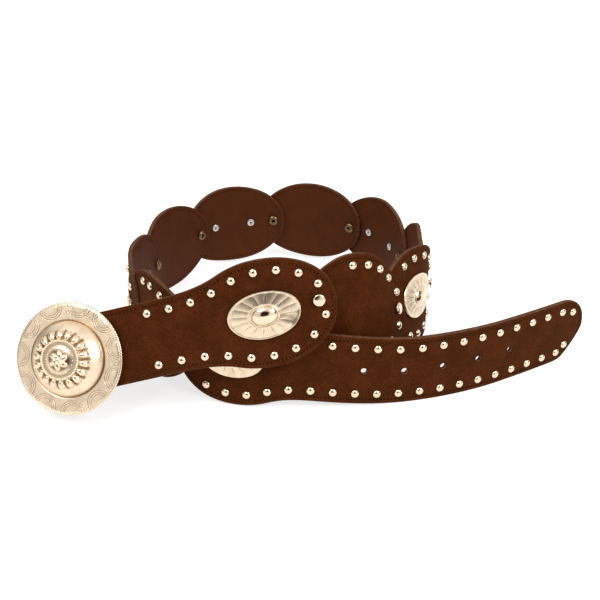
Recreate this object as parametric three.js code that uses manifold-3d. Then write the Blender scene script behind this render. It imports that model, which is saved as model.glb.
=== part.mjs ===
// A leather concho belt, lying on its edge as an open loop: riveted oval links between a buckle
// plate and a tip plate. Millimetres, +Z up, +X to the right, +Y away from the front.
//
// The belt is laid out as one vertical sheet. A point of it has a station (mm along the belt from
// the first joint), a height along the sheet, and an offset out of it, which is positive towards
// the outside of the loop. Plates, studs, conchos and rivets are all placed on that sheet.
import * as THREE from "three";
import { mergeVertices, mergeGeometries } from "three/addons/utils/BufferGeometryUtils.js";
import Module from "manifold-3d";

const wasm = await Module();
wasm.setup();

// Leather
const LEATHER = 3.0; // thickness
const GAP = 0.3; // clearance between pieces
const PITCH = 68.5; // from one joint to the next
const OVAL = { length: 90.0, height: 65.0 };
const REAR_JOINT = 35.3; // from an oval's centre back to the joint with the plate before
const FRONT_JOINT = PITCH - REAR_JOINT; // and forward to the joint with the plate after
const BUCKLE_STRAP_WIDTH = 44.6;
const TIP_STRAP_WIDTH = 44.2;
const TIP_LENGTH = 250.0; // from the tip plate's oval centre to the point
const HOLES = { count: 5, first: 83.0, spacing: 25.0, diameter: 3.8 };

// Trim
const STUD = { diameter: 5.3, height: 1.6, inset: 7.0, spacing: 13.8, tipSpacing: 13.6 };
const CONCHO = { length: 43.8, height: 28.5, rim: 1.1, rise: 2.4, bossLength: 16.6, bossHeight: 12.0,
  boss: 5.0, rivets: 31.0, shank: 2.4, back: 5.6, backThickness: 0.9 };
const RIVET = { cap: 7.2, capThickness: 1.2, shank: 3.6, eyelet: 8.0, eyeletThickness: 1.1,
  bore: 2.6 };

// Buckle: a domed disc on a bar, turned about the bar so that its far side falls back
const DISC = { diameter: 66.4, rim: 2.4, band: 2.9, step: 22.2, ring: 16.8, inner: 11.1, shoulder: 9.3,
  ringHeight: 13.4, top: 15.6, beads: 18, slope: 34, along: -117.6, across: -0.4, out: 1.3, turn: 5.9 };
const BAR = { diameter: 4.0, along: 10.0, behind: 7.2, lug: 3.0 };
const PEG = { diameter: 5.0, length: 6.5, along: -17.0 };
const FOLD = { length: 34.0, blend: 12.0 }; // the strap turned back behind the bar

// Where the belt runs. at: pitches from the first joint. heading: direction of travel seen from
// above, in degrees from +X. lean: how far the sheet leans inwards, in degrees.
const ROUTE = [
  { at: -2.2, heading: 0, lean: 14.5 },
  { at: -0.5, heading: 2, lean: 10.3 },
  { at: 0.07, heading: 8.5, lean: 11.2 },
  { at: 0.5, heading: 26, lean: 13.5 },
  { at: 1, heading: 59, lean: 16 },
  { at: 1.5, heading: 78.5, lean: 10 },
  { at: 2, heading: 89.5, lean: 0 },
  { at: 2.5, heading: 92, lean: 0 },
  { at: 3, heading: 103, lean: 0 },
  { at: 3.5, heading: 123, lean: 0 },
  { at: 4, heading: 148.5, lean: 0 },
  { at: 4.5, heading: 171, lean: 0 },
  { at: 5, heading: 182.5, lean: 0 },
  { at: 5.5, heading: 201, lean: 0 },
  { at: 6, heading: 229, lean: 0 },
  { at: 6.5, heading: 247.5, lean: 0 },
  { at: 7, heading: 260.5, lean: 0 },
  { at: 7.5, heading: 264.5, lean: 2 },
  { at: 8, heading: 289, lean: 2 },
  { at: 8.5, heading: 301.1, lean: 5.5 },
  { at: 9, heading: 322.2, lean: 9.6 },
  { at: 9.5, heading: 344.5, lean: 9.4 },
  { at: 10.4, heading: 366.4, lean: 8.2 },
  { at: 11.2, heading: 372.8, lean: 0 },
  { at: 12.1, heading: 389.1, lean: 0 },
  { at: 13.1, heading: 393.1, lean: 0 },
];
const START = { x: 12.1, y: 390.1 }; // the first joint, seen from above
const ORIGIN = { x: 11.39, y: 502.41 }; // the middle of the loop, moved to the part's origin
const JOINT_HEIGHTS = [71.3, 52.2, 40.8, 30.65, 34.4, 36.0, 32.53, 32.53, 36.0, 33.7];
const BUCKLE_PLATE_TILT = 13.1; // degrees: the buckle's end is the low one
const TWIST = { angle: 13.8, from: -24, to: -74 }; // the buckle's strap leans back more than its oval
const SINK = { from: -12, to: 114 }; // along the tip plate, where its strap drops to the surface

// The tip's outline: back is the distance from the point over the strap's half width, upper and
// lower are the edges' heights over the same.
const TIP = [
  { back: 0.0, upper: 0.04, lower: 0.04 },
  { back: 0.05, upper: 0.37, lower: 0.12 },
  { back: 0.11, upper: 0.5, lower: 0.23 },
  { back: 0.23, upper: 0.68, lower: 0.4 },
  { back: 0.41, upper: 0.84, lower: 0.6 },
  { back: 0.6, upper: 0.93, lower: 0.79 },
  { back: 0.82, upper: 0.99, lower: 0.96 },
  { back: 1.08, upper: 1, lower: 1 },
];

const STEP = 4.2; // length of a facet along the belt
const FACETS = 5; // round a stud

const suede = new THREE.MeshStandardMaterial({ color: 0x55301a, roughness: 0.95, metalness: 0 });
const gold = new THREE.MeshStandardMaterial({ color: 0xd9b98a, roughness: 0.35, metalness: 1 });
const group = new THREE.Group();

const radians = THREE.MathUtils.degToRad;
const smooth = (t) => THREE.MathUtils.smoothstep(t, 0, 1);

// The route's rows joined by arcs, so that arc length along the sheet is exact.
const rows = ROUTE.map((row) => ({
  s: row.at * PITCH,
  heading: radians(row.heading),
  lean: radians(row.lean),
}));
function along(row, next, t) {
  const turn = (next.heading - row.heading) / (next.s - row.s);
  const heading = row.heading + turn * t;
  if (Math.abs(turn) < 1e-9) {
    return { x: t * Math.cos(heading), y: t * Math.sin(heading), heading };
  }
  const x = (Math.sin(heading) - Math.sin(row.heading)) / turn;
  const y = (Math.cos(row.heading) - Math.cos(heading)) / turn;
  return { x, y, heading };
}
rows[0].x = 0;
rows[0].y = 0;
for (let i = 1; i < rows.length; i++) {
  const step = along(rows[i - 1], rows[i], rows[i].s - rows[i - 1].s);
  rows[i].x = rows[i - 1].x + step.x;
  rows[i].y = rows[i - 1].y + step.y;
}
function plan(s) {
  let i = rows.findIndex((row) => row.s > s) - 1;
  if (i === -2) i = rows.length - 2;
  if (i === -1) i = 0;
  const row = rows[i];
  const next = rows[i + 1];
  const step = along(row, next, s - row.s);
  const share = (s - row.s) / (next.s - row.s);
  const lean = THREE.MathUtils.lerp(row.lean, next.lean, THREE.MathUtils.clamp(share, 0, 1));
  return { x: row.x + step.x, y: row.y + step.y, heading: step.heading, lean };
}
const first = plan(0);

// A point of the sheet in the part's frame.
function sheetPoint(s, height, offset) {
  const p = plan(s);
  const inX = -Math.sin(p.heading);
  const inY = Math.cos(p.heading);
  const reach = height * Math.sin(p.lean) - offset * Math.cos(p.lean);
  return new THREE.Vector3(
    p.x - first.x + START.x - ORIGIN.x + inX * reach,
    p.y - first.y + START.y - ORIGIN.y + inY * reach,
    height * Math.cos(p.lean) + offset * Math.sin(p.lean),
  );
}

// Plates are shingled: each lies under the plate before and over the plate after.
const LAP = (LEATHER + GAP) / 2;
// The tip strap passes between the buckle plate and the first link, which it pushes apart.
const SPREAD = { below: 4, over: 10, buckle: 2.2, link: 4.8, reach: 12, fade: 16 };
function spread(s, height) {
  const down = smooth((JOINT_HEIGHTS[0] - SPREAD.below - height) / SPREAD.over);
  return down * (1 - smooth((Math.abs(s) - SPREAD.reach) / SPREAD.fade));
}

function makeLink(index) {
  const rear = JOINT_HEIGHTS[index - 1];
  const front = JOINT_HEIGHTS[index];
  const tilt = Math.asin((front - rear) / PITCH);
  const start = (index - 1) * PITCH + (PITCH * (1 - Math.cos(tilt))) / 2;
  return {
    centre: start + REAR_JOINT * Math.cos(tilt),
    height: rear + REAR_JOINT * Math.sin(tilt),
    tilt,
    lap: (s) => LAP * (2 * smooth(((s - start) / PITCH - 0.2) / 0.6) - 1),
    push: (s, height) => (index === 1 ? -SPREAD.link * spread(s, height) : 0),
    axis: () => 0,
    twist: () => 0,
  };
}
const buckleTilt = radians(BUCKLE_PLATE_TILT);
const bucklePlate = {
  centre: -FRONT_JOINT * Math.cos(buckleTilt),
  height: JOINT_HEIGHTS[0] - FRONT_JOINT * Math.sin(buckleTilt),
  tilt: buckleTilt,
  lap: () => LAP,
  push: (s, height) => SPREAD.buckle * spread(s, height),
  axis: () => 0,
  twist: (u) => radians(TWIST.angle) * smooth((u - TWIST.from) / (TWIST.to - TWIST.from)),
};
const tipPlate = {
  centre: 9 * PITCH + REAR_JOINT,
  height: JOINT_HEIGHTS[9],
  tilt: 0,
  lap: () => -LAP,
  push: () => 0,
  axis: (u) => (TIP_STRAP_WIDTH / 2 - JOINT_HEIGHTS[9]) * smooth((u - SINK.from) / (SINK.to - SINK.from)),
  twist: () => 0,
};

// A point of a plate: u along it and w up it from its oval's centre, out from its middle layer.
function platePoint(plate, u, w, out) {
  const twist = plate.twist(u);
  const raised = w * Math.cos(twist) + out * Math.sin(twist) + plate.axis(u);
  const away = out * Math.cos(twist) - w * Math.sin(twist);
  const s = plate.centre + u * Math.cos(plate.tilt) - raised * Math.sin(plate.tilt);
  const height = plate.height + u * Math.sin(plate.tilt) + raised * Math.cos(plate.tilt);
  return sheetPoint(s, height, plate.lap(s) + plate.push(s, height) + away);
}

// The frame of a small flat-backed piece on a plate: X along the plate, Z out of it.
function frameOn(plate, u, w, out) {
  const origin = platePoint(plate, u, w, out);
  const x = platePoint(plate, u + 1, w, out).sub(platePoint(plate, u - 1, w, out)).normalize();
  const y = platePoint(plate, u, w + 1, out).sub(platePoint(plate, u, w - 1, out)).normalize();
  const z = new THREE.Vector3().crossVectors(x, y).normalize();
  y.crossVectors(z, x);
  return new THREE.Matrix4().makeBasis(x, y, z).setPosition(origin);
}

// Outlines: the half height of a plate above its axis at u.
const ovalHalf = (u) => (OVAL.height / 2) * Math.sqrt(Math.max(0, 1 - (2 * u / OVAL.length) ** 2));
// From the oval at `from` the edge runs in a smooth hollow down to the strap's half width at `to`.
function neck(u, from, to, half) {
  const t = (u - to) / (from - to);
  const slope = (-OVAL.height * (2 * from / OVAL.length)) / OVAL.length / Math.sqrt(1 - (2 * from / OVAL.length) ** 2);
  const rise = slope * (from - to) * (t ** 3 - t ** 2);
  return THREE.MathUtils.lerp(half, ovalHalf(from), 3 * t ** 2 - 2 * t ** 3) + rise;
}
const BUCKLE_NECK = { from: -22, to: -76 };
const TIP_NECK = { from: 24, to: 63 };
function buckleHalf(u) {
  if (u > BUCKLE_NECK.from) return ovalHalf(u);
  if (u < BUCKLE_NECK.to) return BUCKLE_STRAP_WIDTH / 2;
  return neck(u, BUCKLE_NECK.from, BUCKLE_NECK.to, BUCKLE_STRAP_WIDTH / 2);
}
function tipHalf(u, side) {
  const half = TIP_STRAP_WIDTH / 2;
  if (u < TIP_NECK.from) return ovalHalf(u);
  if (u < TIP_NECK.to) return neck(u, TIP_NECK.from, TIP_NECK.to, half);
  const back = (TIP_LENGTH - u) / half;
  const i = TIP.findIndex((row) => row.back >= back);
  if (i === -1) return half;
  if (i === 0) return half * TIP[0][side];
  const share = (back - TIP[i - 1].back) / (TIP[i].back - TIP[i - 1].back);
  return half * THREE.MathUtils.lerp(TIP[i - 1][side], TIP[i][side], share);
}

// Stations of a plate's facets: close together round an oval's end, STEP apart elsewhere.
function ovalEnd(sign, reach) {
  const stations = [];
  for (let angle = 5; angle < 90; angle += 11) {
    const u = (OVAL.length / 2) * Math.cos(radians(angle));
    if (u > reach) stations.push(sign * u);
  }
  return stations;
}
function evenly(from, to, step) {
  const count = Math.ceil((to - from) / step);
  return Array.from({ length: count + 1 }, (_, i) => from + ((to - from) * i) / count);
}
const sorted = (list) => [...new Set(list.map((u) => Number(u.toFixed(3))))].sort((a, b) => a - b);

function solidOf(geometry) {
  const bare = new THREE.BufferGeometry();
  bare.setAttribute("position", geometry.toNonIndexed().getAttribute("position"));
  const merged = mergeVertices(bare, 1e-4);
  const data = { numProp: 3, vertProperties: merged.attributes.position.array, triVerts: merged.index.array };
  return new wasm.Manifold(new wasm.Mesh({ ...data, triVerts: new Uint32Array(data.triVerts) }));
}
function placed(geometry, matrix) {
  return solidOf(geometry.index ? geometry.clone().applyMatrix4(matrix) : indexed(geometry).applyMatrix4(matrix));
}
const indexed = (geometry) => mergeVertices(geometry.clone());
const union = (solids) => wasm.Manifold.union(solids);

function addMesh(name, solid, material) {
  const made = solid.getMesh();
  const geometry = new THREE.BufferGeometry();
  geometry.setAttribute("position", new THREE.BufferAttribute(Float32Array.from(made.vertProperties), 3));
  geometry.setIndex(new THREE.BufferAttribute(Uint32Array.from(made.triVerts), 1));
  geometry.computeVertexNormals();
  const mesh = new THREE.Mesh(geometry, material);
  mesh.name = name;
  group.add(mesh);
}

// A closed leather plate: a grid over its outline, bent on the sheet, with both faces and edges.
function leather(plate, stations, upper, lower, layers) {
  const points = [];
  stations.forEach((u) => {
    for (const out of [LEATHER / 2, -LEATHER / 2]) {
      for (let j = 0; j <= layers; j++) {
        const w = THREE.MathUtils.lerp(-lower(u), upper(u), j / layers);
        points.push(...platePoint(plate, u, w, out).toArray());
      }
    }
  });
  const index = [];
  const quad = (a, b, c, d) => index.push(a, b, c, a, c, d);
  const row = 2 * (layers + 1);
  const id = (i, side, j) => i * row + side * (layers + 1) + j;
  for (let i = 0; i + 1 < stations.length; i++) {
    for (let j = 0; j < layers; j++) {
      quad(id(i, 0, j), id(i + 1, 0, j), id(i + 1, 0, j + 1), id(i, 0, j + 1));
      quad(id(i, 1, j), id(i, 1, j + 1), id(i + 1, 1, j + 1), id(i + 1, 1, j));
    }
    quad(id(i, 0, layers), id(i + 1, 0, layers), id(i + 1, 1, layers), id(i, 1, layers));
    quad(id(i, 1, 0), id(i + 1, 1, 0), id(i + 1, 0, 0), id(i, 0, 0));
  }
  const end = stations.length - 1;
  for (let j = 0; j < layers; j++) {
    quad(id(0, 1, j), id(0, 0, j), id(0, 0, j + 1), id(0, 1, j + 1));
    quad(id(end, 0, j), id(end, 1, j), id(end, 1, j + 1), id(end, 0, j + 1));
  }
  const geometry = new THREE.BufferGeometry();
  geometry.setAttribute("position", new THREE.Float32BufferAttribute(points, 3));
  geometry.setIndex(index);
  return solidOf(geometry);
}

// A cylinder along the local Z of a frame, from `from` to `to`.
function pin(frame, diameter, from, to, sides, topDiameter = diameter) {
  const geometry = new THREE.CylinderGeometry(topDiameter / 2, diameter / 2, to - from, sides);
  geometry.rotateX(Math.PI / 2);
  geometry.translate(0, 0, (from + to) / 2);
  return placed(geometry, frame);
}

// Studs stand along an edge at a set inset. The row is laid on the edge's inset line from a
// starting arc length, one side at a time. left is 1 where the plate lies left of the edge.
function studRow(edge, to, left, start, spacing, count) {
  const line = [];
  const steps = 240;
  for (let i = 0; i <= steps; i++) {
    const a = edge((to * i) / steps);
    const b = edge((to * (i + 0.5)) / steps);
    const tangent = new THREE.Vector2(b.x - a.x, b.y - a.y).normalize();
    line.push(new THREE.Vector2(-tangent.y, tangent.x).multiplyScalar(left * STUD.inset).add(a));
  }
  const spots = [];
  let travelled = 0;
  for (let i = 1; i < line.length && spots.length < count; i++) {
    const piece = line[i].distanceTo(line[i - 1]);
    const wanted = start + spots.length * spacing;
    if (travelled + piece >= wanted) {
      spots.push(line[i - 1].clone().lerp(line[i], (wanted - travelled) / piece));
    }
    travelled += piece;
  }
  return spots;
}
function studs(plate, spots) {
  return spots.map((spot) => {
    const frame = frameOn(plate, spot.x, spot.y, LEATHER / 2);
    return pin(frame, STUD.diameter, -0.5, STUD.height, FACETS, STUD.diameter * 0.45);
  });
}
// Round an oval, the edge in terms of an angle from its front end.
const ovalEdge = (side) => (angle) => ({
  x: (OVAL.length / 2) * Math.cos(angle),
  y: side * (OVAL.height / 2) * Math.sin(angle),
});

// Joints
function jointFrame(index) {
  const plate = index === 0 ? bucklePlate : links[index - 1];
  return frameOn(plate, FRONT_JOINT, 0, -LAP);
}
const links = evenly(1, 9, 1).map(makeLink);
const jointFrames = JOINT_HEIGHTS.map((_, i) => jointFrame(i));
const JOINT_HOLE = RIVET.shank + 2 * GAP;
const jointHole = (index) => pin(jointFrames[index], JOINT_HOLE, -9, 9, 6);
jointFrames.forEach((frame, i) => {
  const stack = LEATHER + LAP + GAP; // from the joint's middle to the cap's underside
  const cap = pin(frame, RIVET.cap, stack, stack + RIVET.capThickness, 10, RIVET.cap * 0.86);
  const shank = pin(frame, RIVET.shank, -stack - 0.2, stack + 0.2, 6);
  const eyelet = pin(frame, RIVET.eyelet * 0.86, -stack - RIVET.eyeletThickness, -stack, 10, RIVET.eyelet);
  const bore = pin(frame, RIVET.bore, -stack - 5, -stack, 6);
  addMesh(`joint_rivet_${i + 1}`, union([cap, shank, eyelet]).subtract(bore), gold);
});

// Conchos: an oval dish with a boss, formed to the plate's bend, on two riveted shanks.
const conchoFrames = (plate) => [-1, 1].map((side) => frameOn(plate, (side * CONCHO.rivets) / 2, 0, 0));
const conchoHoles = (plate) =>
  conchoFrames(plate).map((frame) => pin(frame, CONCHO.shank + 2 * GAP, -5, 5, 6));
function addConcho(name, plate) {
  const base = LEATHER / 2 + 1.7 * GAP;
  const section = [
    { share: 0, out: base },
    { share: 0.55, out: base },
    { share: 1, out: base },
    { share: 1, out: base + CONCHO.rim },
    { share: 0.72, out: base + (CONCHO.rim + CONCHO.rise) / 2 },
    { share: 0, boss: 1.12, out: base + CONCHO.rise },
    { share: 0, boss: 1, out: base + CONCHO.rise + 0.6 },
    { share: 0, boss: 0.62, out: base + CONCHO.boss - 0.5 },
    { share: 0, boss: 0, out: base + CONCHO.boss },
  ];
  const sides = 16;
  const points = [];
  const index = [];
  section.forEach((ring) => {
    for (let k = 0; k < sides; k++) {
      const angle = (2 * Math.PI * k) / sides;
      const boss = ring.boss || 0;
      const u = (Math.cos(angle) * (ring.share * CONCHO.length + boss * CONCHO.bossLength)) / 2;
      const w = (Math.sin(angle) * (ring.share * CONCHO.height + boss * CONCHO.bossHeight)) / 2;
      points.push(...platePoint(plate, u, w, ring.out).toArray());
    }
  });
  for (let i = 0; i + 1 < section.length; i++) {
    for (let k = 0; k < sides; k++) {
      const a = i * sides + k;
      const b = i * sides + ((k + 1) % sides);
      index.push(a, b, b + sides, a, b + sides, a + sides);
    }
  }
  const geometry = new THREE.BufferGeometry();
  geometry.setAttribute("position", new THREE.Float32BufferAttribute(points, 3));
  geometry.setIndex(index);
  const bare = mergeVertices(geometry, 1e-3);
  const kept = [];
  const old = bare.index.array;
  for (let i = 0; i < old.length; i += 3) {
    const [a, b, c] = [old[i], old[i + 1], old[i + 2]];
    if (a !== b && b !== c && c !== a) kept.push(a, b, c);
  }
  bare.setIndex(kept);
  const behind = LEATHER / 2 + GAP;
  const shanks = conchoFrames(plate).flatMap((frame) => [
    pin(frame, CONCHO.shank, -behind - 0.2, behind + 0.6, 6),
    pin(frame, CONCHO.back * 0.8, -behind - CONCHO.backThickness, -behind, 8, CONCHO.back),
  ]);
  addMesh(name, union([solidOf(bare), ...shanks]), gold);
}

// Links
const linkStations = sorted([...ovalEnd(1, 12), ...ovalEnd(-1, 12), ...evenly(-12, 12, STEP)]);
links.forEach((link, i) => {
  const parts = [leather(link, linkStations, ovalHalf, ovalHalf, Math.abs(link.tilt) > 0.12 ? 3 : 2)];
  for (const side of [1, -1]) {
    const spots = studRow(ovalEdge(side), Math.PI, side, STUD.spacing * 0.82, STUD.spacing, 5);
    parts.push(...studs(link, spots));
  }
  let solid = union(parts).subtract(jointHole(i)).subtract(jointHole(i + 1));
  if (i % 2 === 1) {
    conchoHoles(link).forEach((hole) => {
      solid = solid.subtract(hole);
    });
    addConcho(`concho_${i + 1}`, link);
  }
  addMesh(`link_${i + 1}`, solid, suede);
});

// Buckle plate: its oval, strap and the fold round the buckle's bar.
const discFrame = frameOn(bucklePlate, DISC.along, DISC.across, DISC.out).multiply(
  new THREE.Matrix4().makeRotationY(-radians(DISC.turn)),
);
const turn = radians(DISC.turn);
const barAlong = DISC.along + BAR.along * Math.cos(turn) + BAR.behind * Math.sin(turn);
const barOut = DISC.out + BAR.along * Math.sin(turn) - BAR.behind * Math.cos(turn);
const barFrame = frameOn(bucklePlate, barAlong, 0, barOut);
const barLine = (diameter, length, sides) =>
  placed(new THREE.CylinderGeometry(diameter / 2, diameter / 2, length, sides), barFrame);
function fold() {
  const half = LEATHER / 2;
  const bore = BAR.diameter / 2 + GAP;
  const behind = -(2 * bore + LEATHER); // middle of the returning layer at the bar
  const middle = -half + 0.2;
  const profile = new THREE.Shape([
    new THREE.Vector2(0, behind - half + barOut + bore + half),
    new THREE.Vector2(FOLD.blend, -half - LEATHER),
    new THREE.Vector2(FOLD.length, -half - LEATHER),
    new THREE.Vector2(FOLD.length, middle),
    new THREE.Vector2(FOLD.blend, middle),
    new THREE.Vector2(0, behind + half + barOut + bore + half),
  ]);
  const width = BUCKLE_STRAP_WIDTH;
  const flap = new THREE.ExtrudeGeometry(profile, { depth: width, bevelEnabled: false });
  flap.rotateX(Math.PI / 2); // the profile's height turns to local Z, its depth to local -Y
  flap.translate(0, width / 2, 0);
  const frame = frameOn(bucklePlate, barAlong, 0, 0);
  const ring = barLine(2 * (bore + LEATHER), width, 20);
  return union([placed(flap, frame), ring]).subtract(barLine(2 * bore, width + 4, 16));
}
const buckleStations = sorted([
  ...evenly(barAlong, -12, 2.4 * STEP),
  ...ovalEnd(1, 12),
  ...evenly(-12, 12, STEP),
]);
let buckleLeather = leather(bucklePlate, buckleStations, buckleHalf, buckleHalf, 4);
buckleLeather = buckleLeather.add(fold()).subtract(barLine(BAR.diameter + 2 * GAP, 60, 16));
const ROUND_END = 100; // degrees of the oval before the strap's edge is followed
const buckleStuds = [1, -1].flatMap((side) => {
  const edge = (u) => {
    if (u < ROUND_END) return ovalEdge(side)(radians(u));
    const from = (OVAL.length / 2) * Math.cos(radians(ROUND_END));
    const x = from - (u - ROUND_END);
    return { x, y: side * buckleHalf(x) };
  };
  return studRow(edge, 2 * ROUND_END, side, STUD.spacing * 0.72, STUD.spacing * 0.985, 9);
});
buckleLeather = union([buckleLeather, ...studs(bucklePlate, buckleStuds)]).subtract(jointHole(0));
conchoHoles(bucklePlate).forEach((hole) => {
  buckleLeather = buckleLeather.subtract(hole);
});
addMesh("buckle_plate", buckleLeather, suede);
addConcho("concho_buckle_plate", bucklePlate);

// Buckle disc: turned section, beads, lugs, bar and the peg that the tip's holes hook on.
function disc() {
  const radius = DISC.diameter / 2;
  const section = [
    [0, 0], [radius - 0.8, 0], [radius, 0.8], [radius, DISC.rim], [radius - 1.6, DISC.rim + 0.3],
    [DISC.step + 0.6, DISC.band], [DISC.step - 0.3, DISC.band + 1.2], [DISC.step - 2.2, DISC.shoulder - 2.8],
    [DISC.ring + 1.5, DISC.shoulder - 1], [DISC.ring, DISC.shoulder], [DISC.inner + 0.7, DISC.ringHeight - 0.6],
    [DISC.inner, DISC.ringHeight], [DISC.inner - 1.4, DISC.ringHeight - 0.3], [DISC.inner * 0.5, DISC.top - 1.3],
    [0, DISC.top],
  ];
  const profile = section.map(([r, z]) => new THREE.Vector2(r, z));
  const turned = new THREE.LatheGeometry(profile, 30);
  turned.rotateX(Math.PI / 2);
  const parts = [placed(indexed(turned), discFrame)];
  for (let k = 0; k < DISC.beads; k++) {
    const bead = new THREE.CylinderGeometry(0.5, 1.35, 1.6, 6);
    bead.rotateX(Math.PI / 2);
    bead.scale(1.55, 1, 1);
    bead.rotateY(radians(DISC.slope));
    bead.translate((DISC.ring + DISC.inner) / 2 + 0.2, 0, (DISC.shoulder + DISC.ringHeight) / 2 + 0.4);
    bead.rotateZ((2 * Math.PI * k) / DISC.beads);
    parts.push(placed(bead, discFrame));
  }
  const halfStrap = BUCKLE_STRAP_WIDTH / 2;
  for (const side of [1, -1]) {
    const lug = new THREE.BoxGeometry(BAR.diameter, BAR.lug, BAR.behind + BAR.diameter / 2);
    lug.translate(BAR.along, side * (halfStrap + 2 * GAP + BAR.lug / 2) - DISC.across, 0.3 - (BAR.behind + BAR.diameter / 2) / 2);
    parts.push(placed(lug, discFrame));
  }
  parts.push(barLine(BAR.diameter, BUCKLE_STRAP_WIDTH + 4 * GAP + BAR.lug, 16));
  const peg = new THREE.CylinderGeometry(PEG.diameter / 2, PEG.diameter / 2 - 0.6, PEG.length, 12);
  peg.rotateX(Math.PI / 2);
  peg.translate(PEG.along, 0, 0.3 - PEG.length / 2);
  parts.push(placed(peg, discFrame));
  return union(parts);
}
addMesh("buckle_disc", disc(), gold);

// Tip plate: its oval, strap, point and holes.
const tipStations = sorted([
  ...ovalEnd(-1, 12),
  ...evenly(-12, TIP_NECK.to, STEP * 1.15),
  ...evenly(TIP_NECK.to, TIP_LENGTH - TIP.at(-1).back * (TIP_STRAP_WIDTH / 2), STEP * 1.8),
  ...TIP.map((row) => TIP_LENGTH - (row.back * TIP_STRAP_WIDTH) / 2),
]);
let tipLeather = leather(tipPlate, tipStations, (u) => tipHalf(u, "upper"), (u) => tipHalf(u, "lower"), 2);
const tipStuds = ["upper", "lower"].flatMap((side) => {
  const sign = side === "upper" ? 1 : -1;
  const rear = (OVAL.length / 2) * Math.cos(radians(60));
  const edge = (u) => {
    if (u < 60) {
      const spot = ovalEdge(sign)(radians(Math.max(0, u)));
      return { x: -spot.x, y: spot.y };
    }
    const x = u - 60 - rear;
    return { x, y: sign * tipHalf(x, side) };
  };
  return studRow(edge, 60 + rear + TIP_LENGTH - 4, -sign, 34, STUD.tipSpacing, 21);
});
tipLeather = union([tipLeather, ...studs(tipPlate, tipStuds)]).subtract(jointHole(9));
for (let k = 0; k < HOLES.count; k++) {
  const frame = frameOn(tipPlate, HOLES.first + k * HOLES.spacing, 0, 0);
  tipLeather = tipLeather.subtract(pin(frame, HOLES.diameter, -5, 5, 12));
}
conchoHoles(tipPlate).forEach((hole) => {
  tipLeather = tipLeather.subtract(hole);
});
addMesh("tip_plate", tipLeather, suede);
addConcho("concho_tip_plate", tipPlate);

export default group;
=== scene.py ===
"""A leather concho belt, lying on its edge as an open loop.

Each piece is made flat, as a belt maker cuts it: x runs along the leather, y up it, and z out of
it. It is then laid on the belt. Lengths are in metres, and mm() reads better for small ones.
"""

import math

import bpy
import numpy as np
from bpy.props import FloatProperty, FloatVectorProperty, IntProperty, PointerProperty
from mathutils import Matrix, Vector


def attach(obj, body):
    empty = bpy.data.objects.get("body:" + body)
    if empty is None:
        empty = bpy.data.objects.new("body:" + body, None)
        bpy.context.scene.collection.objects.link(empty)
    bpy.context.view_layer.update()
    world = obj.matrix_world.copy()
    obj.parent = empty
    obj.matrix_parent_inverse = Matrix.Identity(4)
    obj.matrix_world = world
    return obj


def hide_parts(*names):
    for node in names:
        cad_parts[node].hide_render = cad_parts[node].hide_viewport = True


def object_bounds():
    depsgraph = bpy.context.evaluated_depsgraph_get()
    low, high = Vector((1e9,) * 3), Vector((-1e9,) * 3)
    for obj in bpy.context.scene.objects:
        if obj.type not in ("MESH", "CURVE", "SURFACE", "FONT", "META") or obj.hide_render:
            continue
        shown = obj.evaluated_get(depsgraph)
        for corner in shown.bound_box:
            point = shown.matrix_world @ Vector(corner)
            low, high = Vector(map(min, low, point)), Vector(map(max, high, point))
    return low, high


bl_info = {
    "name": "Concho Belt",
    "version": (1, 0, 0),
    "blender": (4, 5, 0),
    "location": "View3D > Sidebar > Belt",
    "description": "Makes the leather, trim and buckle of a concho belt",
    "category": "Add Mesh",
}

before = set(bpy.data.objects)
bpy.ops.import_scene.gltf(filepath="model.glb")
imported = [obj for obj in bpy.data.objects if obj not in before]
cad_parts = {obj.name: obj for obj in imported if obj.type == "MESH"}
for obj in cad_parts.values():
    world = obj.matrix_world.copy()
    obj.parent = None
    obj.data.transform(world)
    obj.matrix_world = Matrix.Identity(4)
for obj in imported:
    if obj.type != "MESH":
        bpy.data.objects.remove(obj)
SOLID_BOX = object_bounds()


def mm(value):
    return value * 0.001


# Where the belt lies

LEATHER = mm(3.0)
GAP = mm(0.3)
PITCH = mm(68.5)
OVAL_LENGTH = mm(90.0)
OVAL_HEIGHT = mm(65.0)
REAR_JOINT = mm(35.3)
FRONT_JOINT = PITCH - REAR_JOINT
BUCKLE_STRAP = mm(44.6)
TIP_STRAP = mm(44.2)
TIP_LENGTH = mm(250.0)
LAP = (LEATHER + GAP) / 2  # half the step from one shingled plate to the next

# Pitches from the first joint, heading and inward lean in degrees.
ROUTE = np.array([
    (-2.2, 0, 14.5), (-0.5, 2, 10.3), (0.07, 8.5, 11.2), (0.5, 26, 13.5), (1, 59, 16), (1.5, 78.5, 10),
    (2, 89.5, 0), (2.5, 92, 0), (3, 103, 0), (3.5, 123, 0), (4, 148.5, 0), (4.5, 171, 0),
    (5, 182.5, 0), (5.5, 201, 0), (6, 229, 0), (6.5, 247.5, 0), (7, 260.5, 0), (7.5, 264.5, 2),
    (8, 289, 2), (8.5, 301.1, 5.5), (9, 322.2, 9.6), (9.5, 344.5, 9.4), (10.4, 366.4, 8.2),
    (11.2, 372.8, 0), (12.1, 389.1, 0), (13.1, 393.1, 0),
])
LOOP_MIDDLE = (mm(11.39), mm(502.41))  # moved to the origin; the camera stands this far back
FIRST_JOINT = (mm(12.1) - LOOP_MIDDLE[0], mm(390.1) - LOOP_MIDDLE[1])
JOINT_HEIGHTS = [mm(h) for h in (71.3, 52.2, 40.8, 30.65, 34.4, 36.0, 32.53, 32.53, 36.0, 33.7)]
BUCKLE_TILT = math.radians(13.1)
BUCKLE_TWIST = math.radians(13.8)  # how much further the buckle's strap leans back than its oval

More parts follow.
